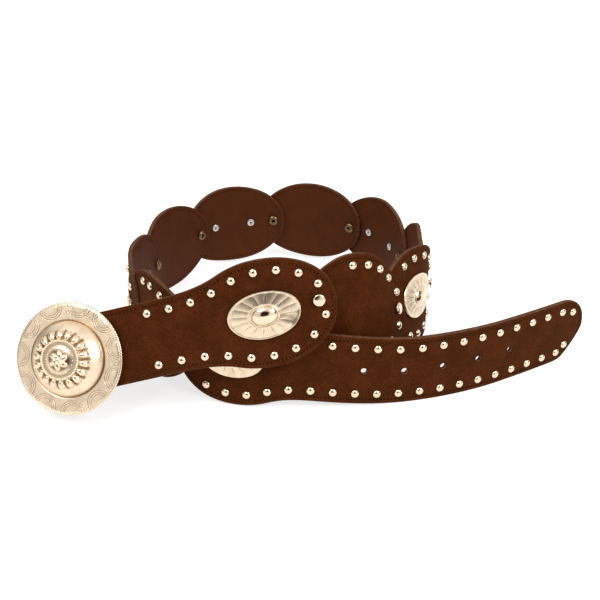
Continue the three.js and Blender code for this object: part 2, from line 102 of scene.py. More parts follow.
# The tip's outline: distance back from the point, upper edge and lower edge, over the half width.
TIP = np.array([
    (0.0, 0.04, 0.04), (0.05, 0.37, 0.12), (0.11, 0.5, 0.23), (0.23, 0.68, 0.4), (0.41, 0.84, 0.6),
    (0.6, 0.93, 0.79), (0.82, 0.99, 0.96), (1.08, 1.0, 1.0),
])


def smooth(t):
    t = np.clip(t, 0, 1)
    return t * t * (3 - 2 * t)


def arc(heading, turn, distance):
    """Where a bend of constant turn ends, from its start, and its heading there."""
    end = heading + turn * distance
    bends = np.abs(turn) > 1e-6
    safe = np.where(bends, turn, 1)
    x = np.where(bends, (np.sin(end) - np.sin(heading)) / safe, distance * np.cos(heading))
    y = np.where(bends, (np.cos(heading) - np.cos(end)) / safe, distance * np.sin(heading))
    return x, y, end


STATIONS = ROUTE[:, 0] * PITCH
HEADINGS = np.radians(ROUTE[:, 1])
LEANS = np.radians(ROUTE[:, 2])
TURNS = np.diff(HEADINGS) / np.diff(STATIONS)
STEPS = arc(HEADINGS[:-1], TURNS, np.diff(STATIONS))
CORNERS = np.vstack([np.zeros(2), np.cumsum(np.column_stack(STEPS[:2]), axis=0)])


def plan(station):
    """The belt seen from above at a station: x, y, heading, and the sheet's lean."""
    row = np.clip(np.searchsorted(STATIONS, station, side="right") - 1, 0, len(TURNS) - 1)
    x, y, heading = arc(HEADINGS[row], TURNS[row], station - STATIONS[row])
    return CORNERS[row, 0] + x, CORNERS[row, 1] + y, heading, np.interp(station, STATIONS, LEANS)


START = plan(np.array([0.0]))


def on_sheet(station, height, offset):
    """A place at a station, at a height up the belt's sheet and an offset out of it."""
    x, y, heading, lean = plan(station)
    reach = height * np.sin(lean) - offset * np.cos(lean)
    return np.column_stack([
        x - START[0] + FIRST_JOINT[0] - np.sin(heading) * reach,
        y - START[1] + FIRST_JOINT[1] + np.cos(heading) * reach,
        height * np.cos(lean) + offset * np.sin(lean),
    ])


def parted(station, height):
    """How far the buckle plate and the first link stand apart for the tip strap between them."""
    down = smooth((JOINT_HEIGHTS[0] - mm(4) - height) / mm(10))
    return down * (1 - smooth((np.abs(station) - mm(12)) / mm(16)))


class Plate:
    """One leather plate's place on the belt, from its oval's centre."""

    def __init__(self, station, height, tilt, lap, push=0.0, sinks=False, wraps=False):
        self.station, self.height, self.tilt, self.lap = station, height, tilt, lap
        self.push, self.sinks, self.wraps = push, sinks, wraps

    def places(self, along, up, out):
        """Flat places laid on the belt, with a strap that runs past the bar taken round it."""
        if self.wraps:
            along, out = round_bar(along, out)
        return self.unwrapped(along, up, out)

    def unwrapped(self, along, up, out):
        if self.wraps:
            twist = BUCKLE_TWIST * smooth((along + mm(24)) / mm(-50))
            cos, sin = np.cos(twist), np.sin(twist)
            up, out = up * cos + out * sin, out * cos - up * sin
        if self.sinks:
            up = up + (TIP_STRAP / 2 - JOINT_HEIGHTS[9]) * smooth((along + mm(12)) / mm(126))
        station = self.station + along * math.cos(self.tilt) - up * math.sin(self.tilt)
        height = self.height + along * math.sin(self.tilt) + up * math.cos(self.tilt)
        layer = self.lap(station) + self.push * parted(station, height)
        return on_sheet(station, height, layer + out)

    def spot(self, along, up, out):
        """The frame of a small piece on the plate: x along it, z out of it."""
        step = mm(1)
        x = along + step * np.array([0, 1, -1, 0, 0])
        y = up + step * np.array([0, 0, 0, 1, -1])
        here, ahead, behind, above, below = map(Vector, self.unwrapped(x, y, np.full(5, out)))
        across = (ahead - behind).normalized()
        outward = across.cross(above - below).normalized()
        turned = Matrix((across, outward.cross(across), outward)).transposed()
        return Matrix.Translation(here) @ turned.to_4x4()


def link_plate(index):
    rear, front = JOINT_HEIGHTS[index - 1], JOINT_HEIGHTS[index]
    tilt = math.asin((front - rear) / PITCH)
    start = (index - 1) * PITCH + PITCH * (1 - math.cos(tilt)) / 2

    def lap(station):
        return LAP * (2 * smooth(((station - start) / PITCH - 0.2) / 0.6) - 1)

    push = -mm(4.8) if index == 1 else 0.0
    centre = start + REAR_JOINT * math.cos(tilt)
    return Plate(centre, rear + REAR_JOINT * math.sin(tilt), tilt, lap, push)


# The buckle hangs on a bar behind its middle, and is turned about it.
BUCKLE_TURN = math.radians(5.9)
BUCKLE_AT = (mm(-117.6), mm(-0.4), mm(1.3))
BAR_FROM_MIDDLE, BAR_BEHIND, BAR_DIAMETER = mm(10.0), mm(7.2), mm(4.0)
BAR_ALONG = BUCKLE_AT[0] + BAR_FROM_MIDDLE * math.cos(BUCKLE_TURN) + BAR_BEHIND * math.sin(BUCKLE_TURN)
BAR_OUT = BUCKLE_AT[2] + BAR_FROM_MIDDLE * math.sin(BUCKLE_TURN) - BAR_BEHIND * math.cos(BUCKLE_TURN)


def bar_path():
    """The strap's middle layer where it runs to the bar, round it and back: (along, out) places."""
    radius = BAR_DIAMETER / 2 + GAP + LEATHER / 2
    lead = np.linspace(0, 1, 30)
    turn = np.linspace(0, math.pi, 40)[1:-1]
    behind = -(LEATHER + GAP / 2)
    there = np.column_stack([BAR_ALONG + mm(14) * (1 - lead), smooth(lead) * (BAR_OUT + radius)])
    bend = np.column_stack([BAR_ALONG - np.sin(turn) * radius, BAR_OUT + np.cos(turn) * radius])
    low = BAR_OUT - radius
    back = np.column_stack([BAR_ALONG + mm(14) * lead, low + smooth(lead) * (behind - low)])
    tail = np.array([(BAR_ALONG + mm(along), behind) for along in (18, 24, 34)])
    return np.vstack([there, bend, back, tail])


BAR_PATH = bar_path()
BAR_TRAVEL = np.concatenate([[0], np.cumsum(np.hypot(*np.diff(BAR_PATH, axis=0).T))])
STRAP_END = BAR_PATH[0, 0] - BAR_TRAVEL[-1]


def round_bar(along, out):
    """Takes a strap that runs past the bar round it and back behind itself."""
    travel = np.clip(BAR_PATH[0, 0] - along, 0, BAR_TRAVEL[-1])
    step = mm(0.3)
    before, after = np.maximum(travel - step, 0), np.minimum(travel + step, BAR_TRAVEL[-1])
    x, z = (np.interp(travel, BAR_TRAVEL, BAR_PATH[:, k]) for k in (0, 1))
    dx, dz = (
        np.interp(after, BAR_TRAVEL, BAR_PATH[:, k]) - np.interp(before, BAR_TRAVEL, BAR_PATH[:, k])
        for k in (0, 1)
    )
    size = np.hypot(dx, dz)
    past = along < BAR_PATH[0, 0]
    return np.where(past, x + dz / size * out, along), np.where(past, z - dx / size * out, out)


LINKS = [link_plate(index) for index in range(1, 10)]
BUCKLE_PLATE = Plate(
    -FRONT_JOINT * math.cos(BUCKLE_TILT),
    JOINT_HEIGHTS[0] - FRONT_JOINT * math.sin(BUCKLE_TILT),
    BUCKLE_TILT,
    lambda station: LAP,
    push=mm(2.2),
    wraps=True,
)
TIP_PLATE = Plate(9 * PITCH + REAR_JOINT, JOINT_HEIGHTS[9], 0.0, lambda station: -LAP, sinks=True)
PLATES = {"buckle_plate": BUCKLE_PLATE}
PLATES.update({f"link_{index}": link for index, link in enumerate(LINKS, 1)})
PLATES["tip_plate"] = TIP_PLATE
WITH_CONCHO = ["buckle_plate", "link_2", "link_4", "link_6", "link_8", "tip_plate"]


# Outlines, counterclockwise seen from outside the belt


def oval_half(along):
    return OVAL_HEIGHT / 2 * np.sqrt(np.maximum(0, 1 - (2 * along / OVAL_LENGTH) ** 2))


def neck(along, start, end, half):
    """The hollow edge from the oval at start down to the strap at end."""
    t = (along - end) / (start - end)
    share = 2 * start / OVAL_LENGTH
    slope = -OVAL_HEIGHT * share / OVAL_LENGTH / math.sqrt(1 - share**2)
    rise = slope * (start - end) * (t**3 - t**2)
    return half + (oval_half(start) - half) * (3 * t**2 - 2 * t**3) + rise


def buckle_half(along):
    narrow = np.where(along < mm(-76), BUCKLE_STRAP / 2, neck(along, mm(-22), mm(-76), BUCKLE_STRAP / 2))
    return np.where(along > mm(-22), oval_half(along), narrow)


def tip_half(along, side):
    half = TIP_STRAP / 2
    point = half * np.interp((TIP_LENGTH - along) / half, TIP[:, 0], TIP[:, side])
    narrow = np.where(along < mm(63), neck(along, mm(24), mm(63), half), point)
    return np.where(along < mm(24), oval_half(along), narrow)


def walk(points, closed=True):
    """A line's points, closed if asked, and the distance travelled at each."""
    if closed:
        points = np.vstack([points, points[:1]])
    return points, np.concatenate([[0], np.cumsum(np.hypot(*np.diff(points, axis=0).T))])


def evened(points, spacing, closed=True):
    """The same line with points at even spacing."""
    points, travel = walk(points, closed)
    count = round(travel[-1] / spacing)
    at = np.linspace(0, travel[-1], count, endpoint=not closed)
    return np.column_stack([np.interp(at, travel, points[:, k]) for k in (0, 1)])


def softened(points, rounds):
    for _ in range(rounds):
        points = (np.roll(points, 1, axis=0) + 2 * points + np.roll(points, -1, axis=0)) / 4
    return points


def oval_outline():
    angle = np.linspace(0, 2 * math.pi, 721)[:-1]
    oval = np.column_stack([np.cos(angle) * OVAL_LENGTH, np.sin(angle) * OVAL_HEIGHT]) / 2
    return evened(oval, mm(2.4))


def buckle_outline():
    angle = np.linspace(0, math.radians(100), 200)
    round_end = np.column_stack([np.cos(angle) * OVAL_LENGTH, np.sin(angle) * OVAL_HEIGHT]) / 2
    along = np.linspace(round_end[-1, 0], STRAP_END, 400)[1:]
    upper = np.vstack([round_end, np.column_stack([along, buckle_half(along)])])
    end = np.column_stack([np.full(30, STRAP_END), np.linspace(1, -1, 32)[1:-1] * BUCKLE_STRAP / 2])
    lower = upper[:0:-1] * (1, -1)
    return evened(softened(evened(np.vstack([upper, end, lower]), mm(0.8)), 4), mm(2.4))


def tip_outline():
    angle = np.linspace(0, math.radians(100), 200)
    round_end = np.column_stack([-np.cos(angle) * OVAL_LENGTH, -np.sin(angle) * OVAL_HEIGHT]) / 2
    along = np.linspace(round_end[-1, 0], TIP_LENGTH, 900)[1:]
    lower = np.column_stack([along, -tip_half(along, 2)])
    upper = np.column_stack([along, tip_half(along, 1)])[::-1]
    points = np.vstack([round_end, lower, upper, round_end[:0:-1] * (1, -1)])
    return evened(softened(evened(points, mm(0.8)), 6), mm(2.4))


def outline_of(name):
    if name == "buckle_plate":
        return buckle_outline()
    return tip_outline() if name == "tip_plate" else oval_outline()


def edge_distance(points, outline):
    """How far each point is from the outline."""
    start, end = outline, np.roll(outline, -1, axis=0)
    run = end - start
    nearest = np.full(len(points), np.inf)
    for a, r in zip(start, run):
        share = np.clip(((points - a) @ r) / (r @ r), 0, 1)
        nearest = np.minimum(nearest, np.hypot(*(points - a - share[:, None] * r).T))
    return nearest


def inset_line(outline, inset):
    """The outline moved inwards."""
    run = np.roll(outline, -1, axis=0) - np.roll(outline, 1, axis=0)
    inward = np.column_stack([-run[:, 1], run[:, 0]]) / np.hypot(*run.T)[:, None]
    moved = outline + inward * inset
    return moved[edge_distance(moved, outline) > 0.985 * inset]


# Shared ways of making


def points_of(mesh):
    points = np.empty(len(mesh.vertices) * 3)
    mesh.vertices.foreach_get("co", points)
    return points.reshape(-1, 3)


def set_points(mesh, points):
    mesh.vertices.foreach_set("co", np.ascontiguousarray(points).ravel())
    mesh.update()


def keep(mesh, name, values):
    """Keeps a number or a place for each vertex, for the materials to read."""
    values = np.asarray(values, dtype=float)
    kind, field = ("FLOAT", "value") if values.ndim == 1 else ("FLOAT_VECTOR", "vector")
    mesh.attributes.new(name, kind, "POINT").data.foreach_set(field, values.ravel())


def alone(piece):
    bpy.ops.object.select_all(action="DESELECT")
    piece.select_set(True)
    bpy.context.view_layer.objects.active = piece


def edit_all(piece):
    alone(piece)
    bpy.ops.object.mode_set(mode="EDIT")
    bpy.ops.mesh.select_all(action="SELECT")


def leave_edit():
    bpy.ops.object.mode_set(mode="OBJECT")


def modify(piece, kind, **settings):
    """Adds a modifier with its settings and applies it."""
    alone(piece)
    bpy.ops.object.modifier_add(type=kind)
    modifier = piece.modifiers[-1]
    for name, value in settings.items():
        setattr(modifier, name, value)
    bpy.ops.object.modifier_apply(modifier=modifier.name)


def joined(pieces):
    bpy.ops.object.select_all(action="DESELECT")
    for piece in pieces:
        piece.select_set(True)
    bpy.context.view_layer.objects.active = pieces[0]
    if len(pieces) > 1:
        bpy.ops.object.join()
    return pieces[0]


def copied(piece, places):
    """One piece made of a copy of this one at each of the places. The first one is used up."""
    copies = []
    for place in places:
        copy = piece.copy()
        copy.data = piece.data.copy()
        copy.data.transform(place)
        bpy.context.collection.objects.link(copy)
        copies.append(copy)
    bpy.data.objects.remove(piece)
    return joined(copies)


def settle(piece):
    """Moves the piece's place, turn and scale into its mesh."""
    alone(piece)
    bpy.ops.object.transform_apply(location=True, rotation=True, scale=True)


def dress(piece, name, materials, stands_for=(), angle=35, look=None):
    """Names the piece, gives it its materials (look says which, face by face) and joins it to the frame."""
    piece.name = piece.data.name = name
    for material in materials:
        piece.data.materials.append(material)
    if look is not None:
        piece.data.polygons.foreach_set("material_index", look)
    alone(piece)
    bpy.ops.object.shade_smooth_by_angle(angle=math.radians(angle))
    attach(piece, "root")
    if stands_for:
        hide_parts(*stands_for)


def faces_of(mesh):
    """Each face's centre and normal."""
    centres = np.empty(len(mesh.polygons) * 3)
    normals = np.empty(len(mesh.polygons) * 3)
    mesh.polygons.foreach_get("center", centres)
    mesh.polygons.foreach_get("normal", normals)
    return centres.reshape(-1, 3), normals.reshape(-1, 3)


def turned(profile, steps):
    """A shape turned about z from a profile of (radius, height) in millimetres."""
    bpy.ops.object.select_all(action="DESELECT")
    bpy.ops.mesh.primitive_plane_add(size=mm(1))
    piece = bpy.context.object
    edit_all(piece)
    bpy.ops.mesh.merge(type="CENTER")
    bpy.ops.transform.translate(value=(mm(profile[0][0]), 0, mm(profile[0][1])))
    for (r0, z0), (r1, z1) in zip(profile, profile[1:]):
        bpy.ops.mesh.extrude_region_move(
            TRANSFORM_OT_translate={"value": (mm(r1 - r0), 0, mm(z1 - z0))}
        )
    bpy.ops.mesh.select_all(action="SELECT")
    bpy.ops.mesh.spin(steps=steps, angle=2 * math.pi, center=(0, 0, 0), axis=(0, 0, 1))
    bpy.ops.mesh.select_all(action="SELECT")
    bpy.ops.mesh.remove_doubles(threshold=mm(0.002))
    bpy.ops.mesh.normals_make_consistent(inside=False)
    leave_edit()
    return piece


def lay(piece, plate):
    """Lays a flat piece on the belt, and keeps its flat places for the materials."""
    flat = points_of(piece.data)
    keep(piece.data, "flat", flat)
    set_points(piece.data, plate.places(*flat.T))


# Leather


def cut_plate(outline, holes=()):
    """A flat plate with loops for its stitch groove, rounded edges, and fine slices so that it bends."""
    sizes = bpy.context.scene.belt_sizes
    bpy.ops.object.select_all(action="DESELECT")
    bpy.ops.mesh.primitive_circle_add(vertices=len(outline), radius=OVAL_LENGTH / 2, fill_type="NGON")
    plate = bpy.context.object
    set_points(plate.data, np.column_stack([outline, np.zeros(len(outline))]))
    edit_all(plate)
    if plate.data.polygons[0].normal.z < 0:
        bpy.ops.mesh.flip_normals()
    groove = mm(0.5)
    for distance in (sizes.stitch_inset - groove, groove, groove):
        bpy.ops.mesh.inset(thickness=distance, use_even_offset=True)
    leave_edit()
    modify(plate, "SOLIDIFY", thickness=sizes.leather, offset=0)
    for along in holes:
        bpy.ops.object.select_all(action="DESELECT")
        bpy.ops.mesh.primitive_cylinder_add(
            vertices=28, radius=sizes.hole_diameter / 2, depth=mm(12), location=(along, 0, 0)
        )
        punch = bpy.context.object
        modify(plate, "BOOLEAN", operation="DIFFERENCE", object=punch, solver="EXACT")
        bpy.data.objects.remove(punch)
    modify(
        plate, "BEVEL", width=mm(0.6), segments=3, limit_method="ANGLE", angle_limit=math.radians(50)
    )
    low, high = outline.min(axis=0), outline.max(axis=0)
    edit_all(plate)
    for axis, step in ((0, mm(3.0)), (1, mm(4.5))):
        for at in np.arange(low[axis] + step, high[axis] - step / 2, step):
            middle, normal = [0, 0, 0], [0, 0, 0]
            middle[axis], normal[axis] = float(at), 1
            bpy.ops.mesh.select_all(action="SELECT")
            bpy.ops.mesh.bisect(plane_co=middle, plane_no=normal, threshold=mm(0.001))
    leave_edit()
    return plate


def shape_plate(plate, outline, holes=()):
    """Presses the stitch groove and keeps the distance from the edge for the materials."""
    sizes = bpy.context.scene.belt_sizes
    points = points_of(plate.data)
    edge = edge_distance(points[:, :2], outline)
    in_groove = np.abs(edge - sizes.stitch_inset) < mm(0.12)
    on_face = np.abs(np.abs(points[:, 2]) - sizes.leather / 2) < mm(0.01)
    points[:, 2] -= np.sign(points[:, 2]) * np.where(in_groove & on_face, mm(0.35), 0)
    set_points(plate.data, points)
    keep(plate.data, "edge", edge)
    hole = np.full(len(points), 1.0)
    for along in holes:
        hole = np.minimum(hole, np.hypot(points[:, 0] - along, points[:, 1]))
    keep(plate.data, "hole", hole)


def leather_looks(plate):
    """Suede outside, smooth leather inside, and the cut edge between them."""
    _, normals = faces_of(plate.data)
    return np.where(normals[:, 2] > 0.8, 0, np.where(normals[:, 2] < -0.8, 1, 2)).astype(np.int32)


FIRST_HOLE = mm(83.0)  # from the tip plate's oval middle


def tip_holes():
    sizes = bpy.context.scene.belt_sizes
    return [FIRST_HOLE + k * sizes.hole_spacing for k in range(sizes.holes)]


class BELT_OT_leather(bpy.types.Operator):
    """Make the buckle plate, the nine oval links and the tip plate in leather"""

    bl_idname = "belt.leather"
    bl_label = "Leather"

    def execute(self, context):
        materials = [suede(), lining(), cut_edge()]
        outline = oval_outline()
        oval = cut_plate(outline)
        shape_plate(oval, outline)
        for name, plate in PLATES.items():
            if name.startswith("link"):
                piece = oval.copy()
                piece.data = oval.data.copy()
                context.collection.objects.link(piece)
            else:
                outline, holes = outline_of(name), tip_holes() if name == "tip_plate" else []
                piece = cut_plate(outline, holes)
                shape_plate(piece, outline, holes)
            look = leather_looks(piece)
            lay(piece, plate)
            dress(piece, f"leather_{name}", materials, [name], look=look)
        bpy.data.objects.remove(oval)
        return {"FINISHED"}


class BELT_OT_stitches(bpy.types.Operator):
    """Sew a row of stitches round each plate, outside and inside"""

    bl_idname = "belt.stitches"
    bl_label = "Stitches"

    def execute(self, context):
        sizes = context.scene.belt_sizes
        threads = [thread("Thread", context.scene.belt_colours.thread)]
        for name, plate in PLATES.items():
            line = evened(inset_line(outline_of(name), sizes.stitch_inset), mm(1.2))
            depth = sizes.leather / 2 - mm(0.2)
            length = walk(line)[1][-1]
            count = round(length / sizes.stitch_spacing)
            bpy.ops.object.select_all(action="DESELECT")
            bpy.ops.mesh.primitive_circle_add(vertices=len(line), radius=OVAL_LENGTH / 2)
            seam = bpy.context.object
            set_points(seam.data, np.column_stack([line, np.zeros(len(line))]))
            alone(seam)
            bpy.ops.object.convert(target="CURVE")
            rows = []
            for side in (1, -1):
                bpy.ops.object.select_all(action="DESELECT")
                bpy.ops.mesh.primitive_uv_sphere_add(
                    segments=6, ring_count=4, radius=mm(1), rotation=(0, math.pi / 2, 0),
                    location=(length / count / 2, 0, side * depth),
                )
                row = bpy.context.object
                settle(row)
                edit_all(row)
                bpy.ops.transform.resize(
                    value=(0.4 * sizes.stitch_spacing / mm(1), 0.36, 0.36),
                    center_override=(length / count / 2, 0, side * depth),
                )
                leave_edit()
                modify(
                    row, "ARRAY", count=count, use_relative_offset=False, use_constant_offset=True,
                    constant_offset_displace=(length / count, 0, 0),
                )
                modify(row, "CURVE", object=seam, deform_axis="POS_X")
                rows.append(row)
            bpy.data.objects.remove(seam)
            piece = joined(rows)
            lay(piece, plate)
            dress(piece, f"stitches_{name}", threads, angle=180)
        return {"FINISHED"}


# Studs, conchos and joints


def round_edge(end, side, angle):
    """The oval's edge from one end, 1 or -1 along x, towards one side, 1 or -1 along y."""
    return np.column_stack([end * np.cos(angle) * OVAL_LENGTH, side * np.sin(angle) * OVAL_HEIGHT]) / 2


def edge_line(name, side):
    """One edge of a plate, from where its row of studs is measured."""
    if name == "tip_plate":
        angle = np.linspace(0, math.radians(60), 121)[:-1]
        round_end = round_edge(-1, side, angle)
        along = np.linspace(-OVAL_LENGTH / 4, TIP_LENGTH - mm(4), 900)
        half = tip_half(along, 1 if side > 0 else 2)
        return np.vstack([round_end, np.column_stack([along, side * half])])
    last = 100 if name == "buckle_plate" else 180
    angle = np.linspace(0, math.radians(last), 721)
    round_end = round_edge(1, side, angle)
    if name != "buckle_plate":
        return round_end
    along = np.linspace(round_end[-1, 0], round_end[-1, 0] - mm(100), 400)[1:]
    return np.vstack([round_end, np.column_stack([along, side * buckle_half(along)])])


TIP_STUDS_START = mm(34)


def stud_spots(name):
    """Where the studs of a plate stand: rows at an even spacing along its inset edges."""
    sizes = bpy.context.scene.belt_sizes
    spacing = sizes.stud_spacing
    first, step, count = spacing * 0.82, spacing, 5
    if name == "buckle_plate":
        first, step, count = spacing * 0.72, spacing * 0.985, 9
    if name == "tip_plate":
        first, step, count = TIP_STUDS_START, sizes.tip_stud_spacing, 21
    spots = []
    for side in (1, -1):
        edge = edge_line(name, side)
        run = np.gradient(edge, axis=0)
        left = -side if name == "tip_plate" else side
        inward = left * np.column_stack([-run[:, 1], run[:, 0]]) / np.hypot(*run.T)[:, None]
        line, travel = walk(edge + inward * sizes.stud_inset, closed=False)
        at = first + step * np.arange(count)
        at = at[at < travel[-1]]
        spots += list(zip(*(np.interp(at, travel, line[:, k]) for k in (0, 1))))
    return spots


class BELT_OT_studs(bpy.types.Operator):
    """Set domed studs along the edges of the plates"""

    bl_idname = "belt.studs"
    bl_label = "Studs"

    def execute(self, context):
        sizes = context.scene.belt_sizes
        polished = [gold("Stud Gold", context.scene.belt_colours.gold, 0.14)]
        radius, height = sizes.stud_diameter / 2 * 1000, sizes.stud_height * 1000
        profile = [(0, -0.3), (radius * 0.9, -0.3), (radius * 0.985, -0.05), (radius, 0.15)]
        profile += [
            (radius * math.cos(math.radians(a)), 0.2 + (height - 0.2) * math.sin(math.radians(a)))
            for a in (12, 28, 44, 58, 71, 82)
        ]
        profile += [(0, height)]
        for name, plate in PLATES.items():
            stud = turned(profile, 18)
            places = [plate.spot(u, w, LEATHER / 2) for u, w in stud_spots(name)]
            piece = copied(stud, places)
            keep(piece.data, "flat", points_of(piece.data))
            dress(piece, f"studs_{name}", polished, angle=60)
        return {"FINISHED"}


RAYS = 16
BOSS_HALF_LENGTH, BOSS_HALF_HEIGHT = mm(8.3), mm(6.0)
CONCHO_RIVET = mm(15.5)  # from the concho's middle to a rivet


def concho_relief(radius, angle):
    """How high the rays stand at a share of the concho's radius."""
    inside = smooth((radius - 0.46) / 0.12) * smooth((0.93 - radius) / 0.08)
    lobe = np.abs(np.cos(angle * RAYS / 2)) ** 0.7
    return mm(0.24) * inside * (lobe - 0.5)


class BELT_OT_conchos(bpy.types.Operator):
    """Make the oval conchos with their rays, domed middles and riveted backs"""

    bl_idname = "belt.conchos"
    bl_label = "Conchos"

    def execute(self, context):
        sizes, colours = context.scene.belt_sizes, context.scene.belt_colours
        materials = [rayed_gold(), gold("Concho Middle", colours.gold, 0.1), steel(), shadow()]
        base = LEATHER / 2 + 1.7 * GAP
        profile = [
            (0, 0), (0.5, 0), (0.95, 0), (0.985, 0.12), (1, 0.4), (1, 0.75), (0.99, 1.0), (0.97, 1.1),
            (0.95, 1.08), (0.93, 1.0), (0.89, 1.06), (0.83, 1.2), (0.76, 1.38), (0.69, 1.6),
            (0.62, 1.84), (0.56, 2.05), (0.5, 2.22), (0.46, 2.3), (0.44, 2.26), (0.43, 2.4),
            (0.42, 2.66), (0.405, 2.76), (0.39, 2.72), (0.378, 2.5), (0.37, 2.5), (0.355, 2.95),
            (0.33, 3.4), (0.29, 3.88), (0.24, 4.3), (0.18, 4.64), (0.12, 4.86), (0.06, 4.97), (0, 5),
        ]
        dish = turned(profile, 160)
        round_flat = points_of(dish.data)
        radius = np.hypot(round_flat[:, 0], round_flat[:, 1]) * 1000
        angle = np.arctan2(round_flat[:, 1], round_flat[:, 0])
        boss = 0.4
        share = np.clip((radius - boss) / (1 - boss), 0, 1)
        half = [
            np.where(radius < boss, small * radius / boss, small + (large - small) * share)
            for small, large in (
                (BOSS_HALF_LENGTH, sizes.concho_length / 2),
                (BOSS_HALF_HEIGHT, sizes.concho_height / 2),
            )
        ]
        up = round_flat[:, 2] > mm(0.5)
        shaped = np.column_stack([
            half[0] * np.cos(angle),
            half[1] * np.sin(angle),
            base + round_flat[:, 2] + np.where(up, concho_relief(radius, angle), 0),
        ])
        rays = np.column_stack([radius * np.cos(angle), radius * np.sin(angle), round_flat[:, 2]])
        keep(dish.data, "rays", rays)
        set_points(dish.data, shaped)
        centres, _ = faces_of(dish.data)
        reach = np.hypot(centres[:, 0] / BOSS_HALF_LENGTH, centres[:, 1] / BOSS_HALF_HEIGHT)
        middle = (reach < 0.93) & (centres[:, 2] > base + mm(2))
        depth = (LEATHER / 2 + GAP) * 1000
        for name in WITH_CONCHO:
            plate = PLATES[name]
            piece = dish.copy()
            piece.data = dish.data.copy()
            context.collection.objects.link(piece)
            look = middle.astype(np.int32)
            lay(piece, plate)
            post = turned(
                [
                    (0, -depth - 0.2), (0.7, -depth - 0.25), (1.0, -depth - 0.75), (1.5, -depth - 0.95),
                    (2.4, -depth - 0.9), (2.9, -depth - 0.6), (3.0, -depth), (1.2, -depth),
                    (1.2, depth + 0.6), (0, depth + 0.6),
                ],
                24,
            )
            places = [plate.spot(side * CONCHO_RIVET, 0.0, 0.0) for side in (-1, 1)]
            centres, _ = faces_of(post.data)
            bore = (np.hypot(centres[:, 0], centres[:, 1]) < mm(0.8)) & (centres[:, 2] < 0)
            posts = copied(post, places)
            keep(posts.data, "flat", points_of(posts.data))
            post_look = np.tile(np.where(bore, 3, 2), len(places)).astype(np.int32)
            look = np.concatenate([look, post_look])
            piece = joined([piece, posts])
            stands_for = [f"concho_{name.replace('link_', '')}"]
            dress(piece, f"dressed_{stands_for[0]}", materials, stands_for, look=look)
        bpy.data.objects.remove(dish)
        return {"FINISHED"}


class BELT_OT_joints(bpy.types.Operator):
    """Join the plates with rivets: a low domed cap outside and an eyelet inside"""

    bl_idname = "belt.joints"
    bl_label = "Joint rivets"

    def execute(self, context):
        colours = context.scene.belt_colours
        cap, eyelet = gold("Rivet Gold", colours.gold, 0.16), gold("Eyelet Brass", colours.brass, 0.3)
        materials = [cap, eyelet, shadow()]
        stack = (LEATHER + LAP + GAP) * 1000
        profile = [
            (0, -stack + 1.5), (1.25, -stack + 1.5), (1.3, -stack - 0.55), (1.6, -stack - 0.95),
            (2.2, -stack - 1.1), (3.0, -stack - 0.95), (3.7, -stack - 0.45), (4.0, -stack - 0.05),
            (3.9, -stack), (1.8, -stack), (1.8, stack), (3.5, stack), (3.6, stack + 0.15),
            (3.6, stack + 0.4), (3.5, stack + 0.62), (3.2, stack + 0.8), (2.7, stack + 0.95),
            (1.9, stack + 1.12), (1.0, stack + 1.22), (0, stack + 1.25),
        ]
        for index in range(10):
            plate = BUCKLE_PLATE if index == 0 else LINKS[index - 1]
            rivet = turned(profile, 36)
            centres, _ = faces_of(rivet.data)
            inside = centres[:, 2] < 0
            bore = inside & (np.hypot(centres[:, 0], centres[:, 1]) < mm(1.35))
            look = np.where(bore, 2, np.where(inside, 1, 0)).astype(np.int32)
            rivet.data.transform(plate.spot(FRONT_JOINT, 0.0, -LAP))
            keep(rivet.data, "flat", points_of(rivet.data))
            name = f"joint_rivet_{index + 1}"
            dress(rivet, f"dressed_{name}", materials, [name], look=look)
        return {"FINISHED"}


# Buckle

SCALLOPS = 11
SCALLOP_LINES = ((mm(7.2), mm(0.32)), (mm(5.9), mm(0.28)), (mm(4.7), mm(0.28)))  # radius, half width
SCALLOP_CENTRE = mm(31.7)  # from the buckle's middle
DOME_FOOT = mm(22.6)
BEADS = 18
BEAD_RING = mm(14.3)


def band_relief(points):
    """The swell inside each scallop of the buckle's band."""
    radius, angle = np.hypot(points[:, 0], points[:, 1]), np.arctan2(points[:, 1], points[:, 0])
    turn = 2 * math.pi / SCALLOPS
    within = (angle / turn + 0.5) % 1 * turn - turn / 2
    away = np.hypot(radius * np.cos(within) - mm(31.6), radius * np.sin(within))
    return mm(0.22) * smooth((mm(5.4) - away) / mm(3)) * smooth((mm(32) - radius) / mm(1.2))


def rope(radius, thickness, height, strands, per_strand):
    """A twisted wire round the buckle."""
    bpy.ops.object.select_all(action="DESELECT")
    bpy.ops.mesh.primitive_torus_add(
        major_radius=radius, minor_radius=thickness, major_segments=strands * per_strand,
        minor_segments=10, location=(0, 0, height),
    )
    wire = bpy.context.object
    settle(wire)
    points = points_of(wire.data)
    angle = np.arctan2(points[:, 1], points[:, 0])
    middle = np.column_stack([
        np.cos(angle) * radius, np.sin(angle) * radius, np.full(len(angle), height),
    ])
    across = np.hypot(points[:, 0], points[:, 1]) - radius
    turn = np.arctan2(points[:, 2] - height, across)
    swell = 1 + 0.24 * np.cos(strands * angle + turn)
    set_points(wire.data, middle + (points - middle) * swell[:, None])
    return wire


